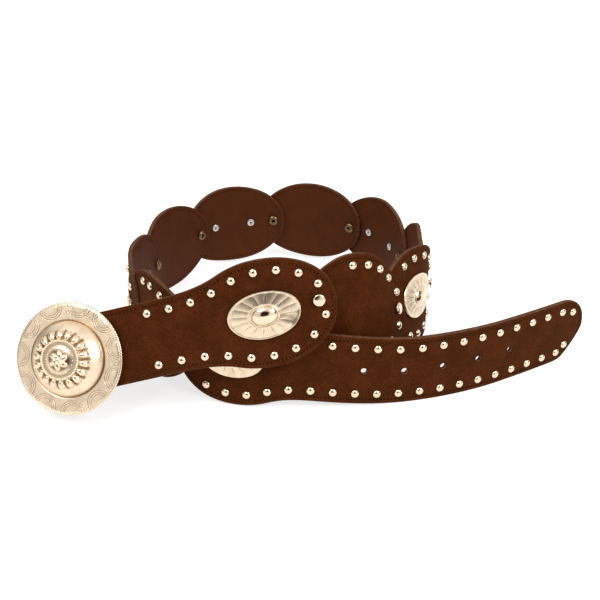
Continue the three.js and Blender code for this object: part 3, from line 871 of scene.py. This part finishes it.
class BELT_OT_buckle(bpy.types.Operator):
    """Make the domed round buckle, its bar and the peg behind it"""

    bl_idname = "belt.buckle"
    bl_label = "Buckle"

    def execute(self, context):
        sizes, colours = context.scene.belt_sizes, context.scene.belt_colours
        edge = sizes.buckle_diameter / 2 * 1000
        place = BUCKLE_PLATE.spot(*BUCKLE_AT) @ Matrix.Rotation(-BUCKLE_TURN, 4, "Y")
        bright = gold("Buckle Trim", colours.gold, 0.22)
        profile = [
            (0, 0), (edge - 2.6, 0), (edge - 1.2, 0.1), (edge - 0.7, 0.5), (edge - 0.6, 1.3),
            (edge - 0.9, 2.1), (edge - 1.5, 2.5),
        ]
        profile += [(r, 2.6 + (edge - 2 - r) * 0.035) for r in np.linspace(edge - 2, 23.2, 14)]
        profile += [
            (22.7, 2.85), (22.4, 2.75), (22.2, 3.1), (21.9, 4.1), (21.2, 5.2), (20.2, 6.3), (19, 7.4),
            (17.9, 8.4), (16.8, 9.3), (15.2, 10.4), (13.6, 11.4), (12.4, 12.2), (11.7, 12.9), (11.1, 13.2),
            (10.4, 13.2), (9.6, 13.0), (8.4, 13.1), (7.0, 13.5), (5.6, 14.1), (4.2, 14.5), (2.5, 14.8),
            (0, 14.9),
        ]
        body = turned(profile, 264)
        points = points_of(body.data)
        points[:, 2] += np.where(points[:, 2] > mm(2.55), band_relief(points), 0)
        set_points(body.data, points)
        self.place(body, place, "dressed_buckle_disc", [engraved_gold()], ["buckle_disc"])

        ropes = [
            rope(mm(edge - 1.0), mm(0.9), mm(1.6), 146, 4),
            rope(mm(11.1), mm(0.65), mm(13.4), 56, 6),
        ]
        self.place(joined(ropes), place, "buckle_ropes", [bright])

        bpy.ops.object.select_all(action="DESELECT")
        bpy.ops.mesh.primitive_uv_sphere_add(segments=20, ring_count=12, radius=mm(1))
        bead = bpy.context.object
        edit_all(bead)
        bpy.ops.transform.resize(value=(3.3, 2.3, 2.0))
        leave_edit()
        points = points_of(bead.data)
        taper = 0.82 + 0.3 * smooth((points[:, 0] + mm(3)) / mm(6))
        set_points(bead.data, points * np.column_stack([np.ones(len(points)), taper, np.ones(len(points))]))
        slope = Matrix.Rotation(math.radians(34), 4, "Y")
        bead.data.transform(Matrix.Translation((BEAD_RING, 0, mm(11.5))) @ slope)
        turn = 2 * math.pi / sizes.beads
        beads = copied(bead, [Matrix.Rotation(turn * k, 4, "Z") for k in range(sizes.beads)])
        self.place(beads, place, "buckle_beads", [bright])

        self.place(self.rosette(), place, "buckle_rosette", [bright])
        self.place(self.hardware(), place, "buckle_bar", [gold("Buckle Back", colours.brass, 0.3)])
        return {"FINISHED"}

    def place(self, piece, place, name, materials, stands_for=()):
        keep(piece.data, "flat", points_of(piece.data))
        piece.data.transform(place)
        dress(piece, name, materials, stands_for, angle=50)

    def rosette(self):
        """Six leaves lying round a small bead, and a ring of dots below them."""
        bpy.ops.object.select_all(action="DESELECT")
        bpy.ops.mesh.primitive_uv_sphere_add(segments=18, ring_count=10, radius=mm(1))
        leaf = bpy.context.object
        edit_all(leaf)
        bpy.ops.transform.resize(value=(3.2, 2.0, 1.8))
        leave_edit()
        places = [
            Matrix.Rotation(math.radians(60 * k), 4, "Z")
            @ Matrix.Translation((mm(3.4), mm(0.5), mm(14.3)))
            @ Matrix.Rotation(math.radians(14), 4, "Y")
            @ Matrix.Rotation(math.radians(28), 4, "Z")
            for k in range(6)
        ]
        leaves = copied(leaf, places)
        bpy.ops.object.select_all(action="DESELECT")
        bpy.ops.mesh.primitive_uv_sphere_add(
            segments=20, ring_count=12, radius=mm(1.8), location=(0, 0, mm(14.7))
        )
        bud = bpy.context.object
        settle(bud)
        bpy.ops.object.select_all(action="DESELECT")
        bpy.ops.mesh.primitive_uv_sphere_add(
            segments=10, ring_count=6, radius=mm(0.5), location=(mm(8.1), 0, mm(13.15))
        )
        dot = bpy.context.object
        settle(dot)
        dots = copied(dot, [Matrix.Rotation(math.radians(20 * k + 6), 4, "Z") for k in range(18)])
        return joined([leaves, bud, dots])

    def hardware(self):
        """The bar that the strap turns round, its two lugs, and the peg for the tip's holes."""
        half = BUCKLE_STRAP / 2
        offset = -BUCKLE_AT[1]
        bpy.ops.object.select_all(action="DESELECT")
        bpy.ops.mesh.primitive_cylinder_add(
            vertices=28, radius=BAR_DIAMETER / 2, depth=BUCKLE_STRAP + 4 * GAP + mm(3),
            location=(BAR_FROM_MIDDLE, offset, -BAR_BEHIND), rotation=(math.pi / 2, 0, 0),
        )
        bar = bpy.context.object
        settle(bar)
        made = [bar]
        reach = BAR_BEHIND + BAR_DIAMETER / 2
        for side in (1, -1):
            bpy.ops.object.select_all(action="DESELECT")
            bpy.ops.mesh.primitive_cube_add(
                size=1, scale=(BAR_DIAMETER, mm(3), reach),
                location=(BAR_FROM_MIDDLE, offset + side * (half + 2 * GAP + mm(1.5)), mm(0.3) - reach / 2),
            )
            lug = bpy.context.object
            settle(lug)
            modify(lug, "BEVEL", width=mm(0.7), segments=3)
            made.append(lug)
        peg = turned(
            [
                (0, 0.3), (2.2, 0.3), (1.9, -1), (1.8, -4.2), (2.2, -4.8), (2.5, -5.4), (2.35, -6),
                (1.6, -6.4), (0, -6.5),
            ],
            28,
        )
        peg.data.transform(Matrix.Translation((mm(-17), 0, 0)))
        return joined([*made, peg])


# Finishes


def put(tree, kind, inputs=None, **settings):
    """Adds a node with its settings. An input is a number, a colour, or another node's output."""
    made = tree.nodes.new(kind)
    made.location = (180 * (len(tree.nodes) % 9), -220 * (len(tree.nodes) // 9))
    for name, value in settings.items():
        setattr(made, name, value)
    for name, value in (inputs or {}).items():
        if isinstance(value, bpy.types.NodeSocket):
            tree.links.new(value, made.inputs[name])
        else:
            made.inputs[name].default_value = value
    return made


def calc(tree, operation, *values):
    return put(tree, "ShaderNodeMath", dict(enumerate(values)), operation=operation).outputs[0]


def chained(tree, operation, values):
    result = values[0]
    for value in values[1:]:
        result = calc(tree, operation, result, value)
    return result


def product(tree, *values):
    return chained(tree, "MULTIPLY", values)


def largest(tree, *values):
    return chained(tree, "MAXIMUM", values)


def band(tree, value, low, high, to_low=0.0, to_high=1.0):
    """Value from low to high, read as a smooth step."""
    made = put(
        tree, "ShaderNodeMapRange",
        {"Value": value, "From Min": low, "From Max": high, "To Min": to_low, "To Max": to_high},
        interpolation_type="SMOOTHSTEP",
    )
    return made.outputs["Result"]


def line_at(tree, value, middle, reach, core):
    """A soft line where the value is near its middle: whole within the core, gone past the reach."""
    away = calc(tree, "ABSOLUTE", calc(tree, "SUBTRACT", value, middle))
    return band(tree, away, reach, core)


def ripple(tree, angle, count):
    """Half waves from 0 to 1 and back, twice the count round a full turn."""
    return calc(tree, "ABSOLUTE", calc(tree, "SINE", product(tree, angle, count)))


def distance(tree, x, y):
    return calc(tree, "SQRT", calc(tree, "ADD", product(tree, x, x), product(tree, y, y)))


def blend(tree, share, first, second, kind="MIX"):
    made = put(tree, "ShaderNodeMix", data_type="RGBA", blend_type=kind)
    for socket, value in zip((made.inputs[0], made.inputs[6], made.inputs[7]), (share, first, second)):
        if isinstance(value, bpy.types.NodeSocket):
            tree.links.new(value, socket)
        else:
            socket.default_value = value
    return made.outputs[2]


def kept(tree, name):
    return put(tree, "ShaderNodeAttribute", attribute_name=name)


def colour(value, share=1.0):
    return (*(c * share for c in value[:3]), 1.0)


def finish(name, roughness, metallic=0.0, **constants):
    """A material's tree and its Principled shader, which holds the constants."""
    material = bpy.data.materials.get(name)
    if material is not None:
        return material, None, None
    material = bpy.data.materials.new(name)
    material.use_nodes = True
    tree = material.node_tree
    shader = tree.nodes["Principled BSDF"]
    shader.inputs["Roughness"].default_value = roughness
    shader.inputs["Metallic"].default_value = metallic
    for socket, value in constants.items():
        shader.inputs[socket.replace("_", " ")].default_value = value
    return material, tree, shader


def mottle_group():
    """Uneven colour over a piece's flat places: a base colour that drifts to a second one, and its mask."""
    group = bpy.data.node_groups.get("Mottle")
    if group is not None:
        return group
    group = bpy.data.node_groups.new("Mottle", "ShaderNodeTree")
    face = group.interface
    for name, kind, default in (
        ("Colour", "NodeSocketColor", (0.5, 0.5, 0.5, 1)),
        ("Second Colour", "NodeSocketColor", (0.2, 0.2, 0.2, 1)),
        ("Scale", "NodeSocketFloat", 200.0),
        ("Amount", "NodeSocketFloat", 1.0),
    ):
        face.new_socket(name, in_out="INPUT", socket_type=kind).default_value = default
    face.new_socket("Colour", in_out="OUTPUT", socket_type="NodeSocketColor")
    face.new_socket("Mask", in_out="OUTPUT", socket_type="NodeSocketFloat")
    given = put(group, "NodeGroupInput")
    flat = kept(group, "flat").outputs["Vector"]
    wide = put(
        group, "ShaderNodeTexNoise",
        {"Vector": flat, "Scale": given.outputs["Scale"], "Detail": 6.0, "Roughness": 0.62},
    )
    mask = band(group, wide.outputs["Fac"], 0.36, 0.64)
    share = product(group, mask, given.outputs["Amount"])
    out = put(group, "NodeGroupOutput")
    tone = blend(group, share, given.outputs["Colour"], given.outputs["Second Colour"])
    group.links.new(tone, out.inputs["Colour"])
    group.links.new(mask, out.inputs["Mask"])
    return group


def mottled(tree, first, second, scale, amount):
    made = put(tree, "ShaderNodeGroup", node_tree=mottle_group())
    for name, value in zip(("Colour", "Second Colour", "Scale", "Amount"), (first, second, scale, amount)):
        made.inputs[name].default_value = value
    return made.outputs["Colour"], made.outputs["Mask"]


def bump(tree, height, strength, distance):
    made = put(tree, "ShaderNodeBump", {"Height": height, "Strength": strength, "Distance": distance})
    return made.outputs["Normal"]


STITCH_GROOVE = mm(3)


def suede():
    colours = bpy.context.scene.belt_colours
    material, tree, shader = finish(
        "Suede", 0.95, Specular_IOR_Level=0.03, Sheen_Weight=0.06, Sheen_Roughness=0.5,
        Sheen_Tint=(0.9, 0.5, 0.25, 1),
    )
    if tree is None:
        return material
    tone, _ = mottled(tree, colour(colours.suede), colour(colours.suede, 0.74), 60.0, 1.0)
    flat = kept(tree, "flat").outputs["Vector"]
    nap = put(tree, "ShaderNodeTexNoise", {"Vector": flat, "Scale": 900.0, "Detail": 5.0, "Roughness": 0.7})
    fleck = band(tree, nap.outputs["Fac"], 0.35, 0.68, 0.74, 1.24)
    grey = put(tree, "ShaderNodeCombineColor", {0: fleck, 1: fleck, 2: fleck}).outputs[0]
    tone = blend(tree, 1.0, tone, grey, "MULTIPLY")
    # Painted shade: the pressed stitch groove is darkened.
    groove = line_at(tree, kept(tree, "edge").outputs["Fac"], STITCH_GROOVE, mm(0.7), mm(0.3))
    tone = blend(tree, groove, tone, colour(colours.suede, 0.22))
    rim = kept(tree, "hole").outputs["Fac"]
    tone = blend(tree, band(tree, rim, mm(3.4), mm(2.0)), tone, colour(colours.suede, 0.3))
    tree.links.new(tone, shader.inputs["Base Color"])
    tree.links.new(bump(tree, nap.outputs["Fac"], 0.55, mm(0.35)), shader.inputs["Normal"])
    return material


def lining():
    colours = bpy.context.scene.belt_colours
    material, tree, shader = finish("Lining Leather", 0.6, Specular_IOR_Level=0.08)
    if tree is None:
        return material
    tone, _ = mottled(tree, colour(colours.lining), colour(colours.lining, 0.8), 60.0, 0.8)
    flat = kept(tree, "flat").outputs["Vector"]
    grain = put(tree, "ShaderNodeTexVoronoi", {"Vector": flat, "Scale": 950.0}, feature="DISTANCE_TO_EDGE")
    # Painted shade: the pressed stitch groove is darkened.
    groove = line_at(tree, kept(tree, "edge").outputs["Fac"], STITCH_GROOVE, mm(0.7), mm(0.25))
    tone = blend(tree, groove, tone, colour(colours.lining, 0.6))
    tree.links.new(tone, shader.inputs["Base Color"])
    pores = band(tree, grain.outputs["Distance"], 0.0, 0.25)
    tree.links.new(bump(tree, pores, 0.25, mm(0.12)), shader.inputs["Normal"])
    return material


def cut_edge():
    colours = bpy.context.scene.belt_colours
    material, tree, shader = finish("Cut Edge", 0.75, Specular_IOR_Level=0.12)
    if tree is None:
        return material
    tone, mask = mottled(tree, colour(colours.edge), colour(colours.edge, 0.6), 420.0, 1.0)
    tree.links.new(tone, shader.inputs["Base Color"])
    tree.links.new(bump(tree, mask, 0.3, mm(0.15)), shader.inputs["Normal"])
    return material


def thread(name, tint):
    material, tree, shader = finish(name, 0.9, Specular_IOR_Level=0.05)
    if tree is not None:
        tone, _ = mottled(tree, colour(tint), colour(tint, 0.6), 300.0, 1.0)
        tree.links.new(tone, shader.inputs["Base Color"])
    return material


def gold(name, tint, roughness):
    material, tree, shader = finish(name, roughness, metallic=1.0)
    if tree is not None:
        tone, mask = mottled(tree, colour(tint), colour(tint, 0.88), 260.0, 1.0)
        tree.links.new(tone, shader.inputs["Base Color"])
        rough = band(tree, mask, 0.0, 1.0, roughness, roughness + 0.08)
        tree.links.new(rough, shader.inputs["Roughness"])
    return material


def steel():
    material, tree, shader = finish("Rivet Steel", 0.42, metallic=1.0)
    if tree is not None:
        tone, _ = mottled(tree, (0.72, 0.69, 0.66, 1), (0.5, 0.47, 0.44, 1), 380.0, 1.0)
        tree.links.new(tone, shader.inputs["Base Color"])
    return material


def shadow():
    material, tree, shader = finish("Eyelet Bore", 0.8)
    if tree is not None:
        shader.inputs["Base Color"].default_value = (0.012, 0.008, 0.006, 1)
    return material


def polar(tree, name):
    """The radius and the angle of a piece's kept places about its middle."""
    parts = put(tree, "ShaderNodeSeparateXYZ", {"Vector": kept(tree, name).outputs["Vector"]})
    x, y = parts.outputs[0], parts.outputs[1]
    return distance(tree, x, y), calc(tree, "ARCTAN2", y, x), parts.outputs[2]


def rayed_gold():
    """Gold with fine lines cut along the concho's rays, and painted shade in the valleys between the rays.
    """
    colours = bpy.context.scene.belt_colours
    material, tree, shader = finish("Rayed Gold", 0.3, metallic=1.0)
    if tree is None:
        return material
    radius, angle, height = polar(tree, "rays")
    inside = product(
        tree, band(tree, radius, 0.47, 0.53), band(tree, radius, 0.92, 0.86),
        band(tree, height, mm(0.8), mm(0.9)),
    )
    cut = product(tree, band(tree, ripple(tree, angle, RAYS * 3.0), 0.5, 0.0), inside)
    # Painted shade: the valleys between the raised rays are darkened, most towards the inner end of the
    # rays.
    valley = calc(tree, "ABSOLUTE", calc(tree, "COSINE", product(tree, angle, RAYS / 2)))
    valley_shade = product(tree, band(tree, valley, 0.3, 0.02), inside, band(tree, radius, 0.9, 0.6))
    tone, _ = mottled(tree, colour(colours.gold), colour(colours.gold, 0.85), 260.0, 1.0)
    dark = largest(tree, product(tree, cut, 0.55), product(tree, valley_shade, 0.85))
    tone = blend(tree, dark, tone, colour(colours.patina_and_shade))
    tree.links.new(tone, shader.inputs["Base Color"])
    tree.links.new(bump(tree, calc(tree, "SUBTRACT", 1.0, cut), 0.2, mm(0.1)), shader.inputs["Normal"])
    return material


def engraved_gold():
    """Gold engraved with triple scallops round the band, dark at the dome's foot, with painted shade round
    and between the beads, in the dip inside the small rope and under the rosette.
    """
    colours = bpy.context.scene.belt_colours
    material, tree, shader = finish("Engraved Gold", 0.34, metallic=1.0)
    if tree is None:
        return material
    radius, angle, height = polar(tree, "flat")
    turn = 2 * math.pi / SCALLOPS
    shifted = calc(tree, "ADD", angle, turn / 2)
    within = calc(tree, "SUBTRACT", calc(tree, "WRAP", shifted, turn, 0.0), turn / 2)
    x = calc(tree, "SUBTRACT", product(tree, radius, calc(tree, "COSINE", within)), SCALLOP_CENTRE)
    y = product(tree, radius, calc(tree, "SINE", within))
    away = distance(tree, x, y)
    scallops = [line_at(tree, away, middle, reach, mm(0.08)) for middle, reach in SCALLOP_LINES]
    ticks = product(
        tree, band(tree, ripple(tree, calc(tree, "ARCTAN2", y, x), 26.0), 0.45, 0.0),
        band(tree, away, mm(4.7), mm(4.9)), band(tree, away, mm(7.2), mm(7.0)), 0.45,
    )
    lines = product(
        tree, band(tree, ripple(tree, angle, 88.0), 0.35, 0.0),
        band(tree, away, mm(7.3), mm(7.6)), band(tree, radius, mm(26.0), mm(27.8)), 0.6,
    )
    arcs = product(
        tree, largest(tree, *scallops, ticks, lines),
        band(tree, radius, mm(31.9), mm(31.4)), band(tree, radius, mm(23.4), mm(23.8)),
    )
    foot = line_at(tree, radius, DOME_FOOT, mm(0.8), mm(0.15))
    # Painted shade: darkened between and round the beads, in the dip inside the small rope and on the dome
    # under the rosette's leaves.
    between = band(tree, ripple(tree, angle, BEADS / 2), 0.72, 0.97)
    bead_gap_shade = product(tree, line_at(tree, radius, mm(14.2), mm(3.5), mm(2.4)), between, 0.95)
    rope_dip_shade = product(tree, line_at(tree, radius, mm(9.4), mm(1.6), mm(0.4)), 0.45)
    core = product(tree, band(tree, radius, mm(7.4), mm(5.6)), 0.95)
    front = band(tree, height, mm(2.0), mm(2.6))
    dark = largest(tree, product(tree, arcs, 0.6), product(tree, foot, 0.7), bead_gap_shade, rope_dip_shade, core)
    tone, _ = mottled(tree, colour(colours.gold), colour(colours.gold, 0.85), 160.0, 1.0)
    tone = blend(tree, product(tree, dark, front), tone, colour(colours.patina_and_shade))
    tree.links.new(tone, shader.inputs["Base Color"])
    cut = calc(tree, "SUBTRACT", 1.0, product(tree, largest(tree, arcs, foot), front))
    tree.links.new(bump(tree, cut, 0.8, mm(0.25)), shader.inputs["Normal"])
    return material


# Stage


CAMERA_HEIGHT = mm(270.0)
CAMERA_LENS = 775.5 / 600 * 36  # from its reach in pixels of a picture 600 wide
# Soft dark patches of the studio: the way to each, the cosine of its half width, and how dark.
DARK_PATCHES = (
    ((0.02, -0.94, 0.32), 0.9, 1.0),
    ((-0.62, -0.72, 0.3), 0.86, 0.1),
    ((0.95, -0.1, 0.28), 0.9, 0.8),
    ((0.1, 0.95, 0.3), 0.9, 0.8),
    ((-0.95, 0.15, 0.28), 0.9, 0.8),
)


class BELT_OT_stage(bpy.types.Operator):
    """Set the pale floor, the soft studio light and the camera"""

    bl_idname = "belt.stage"
    bl_label = "Stage"

    def execute(self, context):
        scene = context.scene
        scene.view_settings.view_transform = "Standard"
        bpy.ops.object.select_all(action="DESELECT")
        bpy.ops.mesh.primitive_plane_add(size=12, location=(0, 0, SOLID_BOX[0][2]))
        floor = context.object
        floor.name = "floor"
        material, tree, shader = finish("Pale Floor", 0.9, Specular_IOR_Level=0.0)
        shader.inputs["Base Color"].default_value = (0.5, 0.5, 0.5, 1)
        shader.inputs["Emission Color"].default_value = (1, 1, 1, 1)
        shader.inputs["Emission Strength"].default_value = 0.6
        floor.data.materials.append(material)
        self.sky(scene)
        self.light("key", (-0.7, -0.8, 1.6), 0.9, 17.0)
        self.light("fill", (1.2, -0.9, 1.1), 0.8, 15.0)
        bpy.ops.object.camera_add(
            location=(-LOOP_MIDDLE[0], -LOOP_MIDDLE[1], CAMERA_HEIGHT), rotation=(math.radians(63.5), 0, 0)
        )
        camera = context.object
        camera.data.sensor_width = 36
        camera.data.lens = CAMERA_LENS
        camera.data.clip_start = 0.01
        scene.camera = camera
        return {"FINISHED"}

    def light(self, name, location, size, power):
        bpy.ops.object.select_all(action="DESELECT")
        bpy.ops.object.light_add(type="AREA", location=location)
        light = bpy.context.object
        light.name = name
        light.data.size = size
        light.data.energy = power
        way = Vector((0, 0, 0.03)) - Vector(location)
        light.rotation_euler = way.to_track_quat("-Z", "Y").to_euler()

    def sky(self, scene):
        """A white studio with soft dark patches that light the belt but aren't seen behind it."""
        world = scene.world or bpy.data.worlds.new("Studio")
        scene.world = world
        world.use_nodes = True
        tree = world.node_tree
        tree.nodes.clear()
        coordinates = put(tree, "ShaderNodeTexCoord").outputs["Generated"]
        level = 0.0
        for toward, wide, depth in DARK_PATCHES:
            way = {0: coordinates, 1: tuple(Vector(toward).normalized())}
            dot = put(tree, "ShaderNodeVectorMath", way, operation="DOT_PRODUCT").outputs["Value"]
            level = largest(tree, level, product(tree, band(tree, dot, wide, wide + 0.052), depth))
        seen = put(tree, "ShaderNodeLightPath").outputs["Is Camera Ray"]
        level = product(tree, level, calc(tree, "SUBTRACT", 1.0, seen))
        tone = blend(tree, level, (1, 1, 1, 1), (0.02, 0.016, 0.014, 1))
        shade = put(tree, "ShaderNodeBackground", {"Color": tone, "Strength": 1.0})
        out = put(tree, "ShaderNodeOutputWorld", {"Surface": shade.outputs[0]})
        out.is_active_output = True


# Settings, panel and running


def length(name, description, default):
    return FloatProperty(
        name=name, description=description, default=mm(default), min=0.0, unit="LENGTH", precision=5
    )


def tint(name, description, default):
    return FloatVectorProperty(
        name=name, description=description, default=default, size=3, min=0.0, max=1.0, subtype="COLOR"
    )


class BeltSizes(bpy.types.PropertyGroup):
    leather: length("Leather", "Thickness of the leather", 3.0)
    stitch_inset: length("Stitch inset", "From the edge to the stitches", 3.0)
    stitch_spacing: length("Stitch spacing", "From one stitch to the next", 2.3)
    stud_diameter: length("Stud", "Diameter of a stud", 5.3)
    stud_height: length("Stud height", "How far a stud stands out", 1.9)
    stud_inset: length("Stud inset", "From the edge to the middle of a stud", 7.0)
    stud_spacing: length("Stud spacing", "From one stud to the next on the links", 13.8)
    tip_stud_spacing: length("Tip stud spacing", "From one stud to the next on the tip", 13.6)
    hole_diameter: length("Hole", "Diameter of a hole for the buckle's peg", 3.8)
    hole_spacing: length("Hole spacing", "From one hole to the next", 25.0)
    holes: IntProperty(name="Holes", description="Holes for the buckle's peg", default=5, min=1)
    concho_length: length("Concho length", "Length of a concho", 43.8)
    concho_height: length("Concho height", "Height of a concho", 28.5)
    buckle_diameter: length("Buckle", "Diameter of the buckle", 66.4)
    beads: IntProperty(name="Beads", description="Beads round the buckle's dome", default=BEADS, min=3)


class BeltColours(bpy.types.PropertyGroup):
    suede: tint("Suede", "Outside of the leather", (0.063, 0.0150, 0.0034))
    lining: tint("Lining", "Smooth inside of the leather", (0.068, 0.0162, 0.0031))
    edge: tint("Cut edge", "The leather's cut edge", (0.115, 0.048, 0.021))
    thread: tint("Thread", "Stitches", (0.11, 0.03, 0.006))
    gold: tint("Gold", "Studs, conchos and buckle", (0.86, 0.69, 0.50))
    brass: tint("Brass", "Eyelets and the back of the buckle", (0.2, 0.12, 0.055))
    # Real dark tone of the engraved lines, also used as painted shade in the concho's ray valleys and round
    # the buckle's beads and rosette.
    patina_and_shade: tint("Patina and shade", "Dark tone in the engraved lines", (0.2, 0.125, 0.06))


class BELT_PT_panel(bpy.types.Panel):
    """Sizes, colours and pieces of the belt"""

    bl_idname = "BELT_PT_panel"
    bl_label = "Concho Belt"
    bl_space_type = "VIEW_3D"
    bl_region_type = "UI"
    bl_category = "Belt"

    def draw(self, context):
        for group in (context.scene.belt_sizes, context.scene.belt_colours):
            box = self.layout.box()
            for name in group.__annotations__:
                box.prop(group, name)
        for operator in OPERATORS:
            self.layout.operator(operator.bl_idname)


OPERATORS = (
    BELT_OT_leather, BELT_OT_stitches, BELT_OT_studs, BELT_OT_conchos, BELT_OT_joints,
    BELT_OT_buckle, BELT_OT_stage,
)
CLASSES = (BeltSizes, BeltColours, *OPERATORS, BELT_PT_panel)


def register():
    for cls in CLASSES:
        bpy.utils.register_class(cls)
    bpy.types.Scene.belt_sizes = PointerProperty(type=BeltSizes)
    bpy.types.Scene.belt_colours = PointerProperty(type=BeltColours)


def unregister():
    del bpy.types.Scene.belt_colours
    del bpy.types.Scene.belt_sizes
    for cls in reversed(CLASSES):
        bpy.utils.unregister_class(cls)


def main():
    register()
    bpy.ops.belt.leather()
    bpy.ops.belt.stitches()
    bpy.ops.belt.studs()
    bpy.ops.belt.conchos()
    bpy.ops.belt.joints()
    bpy.ops.belt.buckle()
    bpy.ops.belt.stage()


if __name__ == "__main__":
    main()
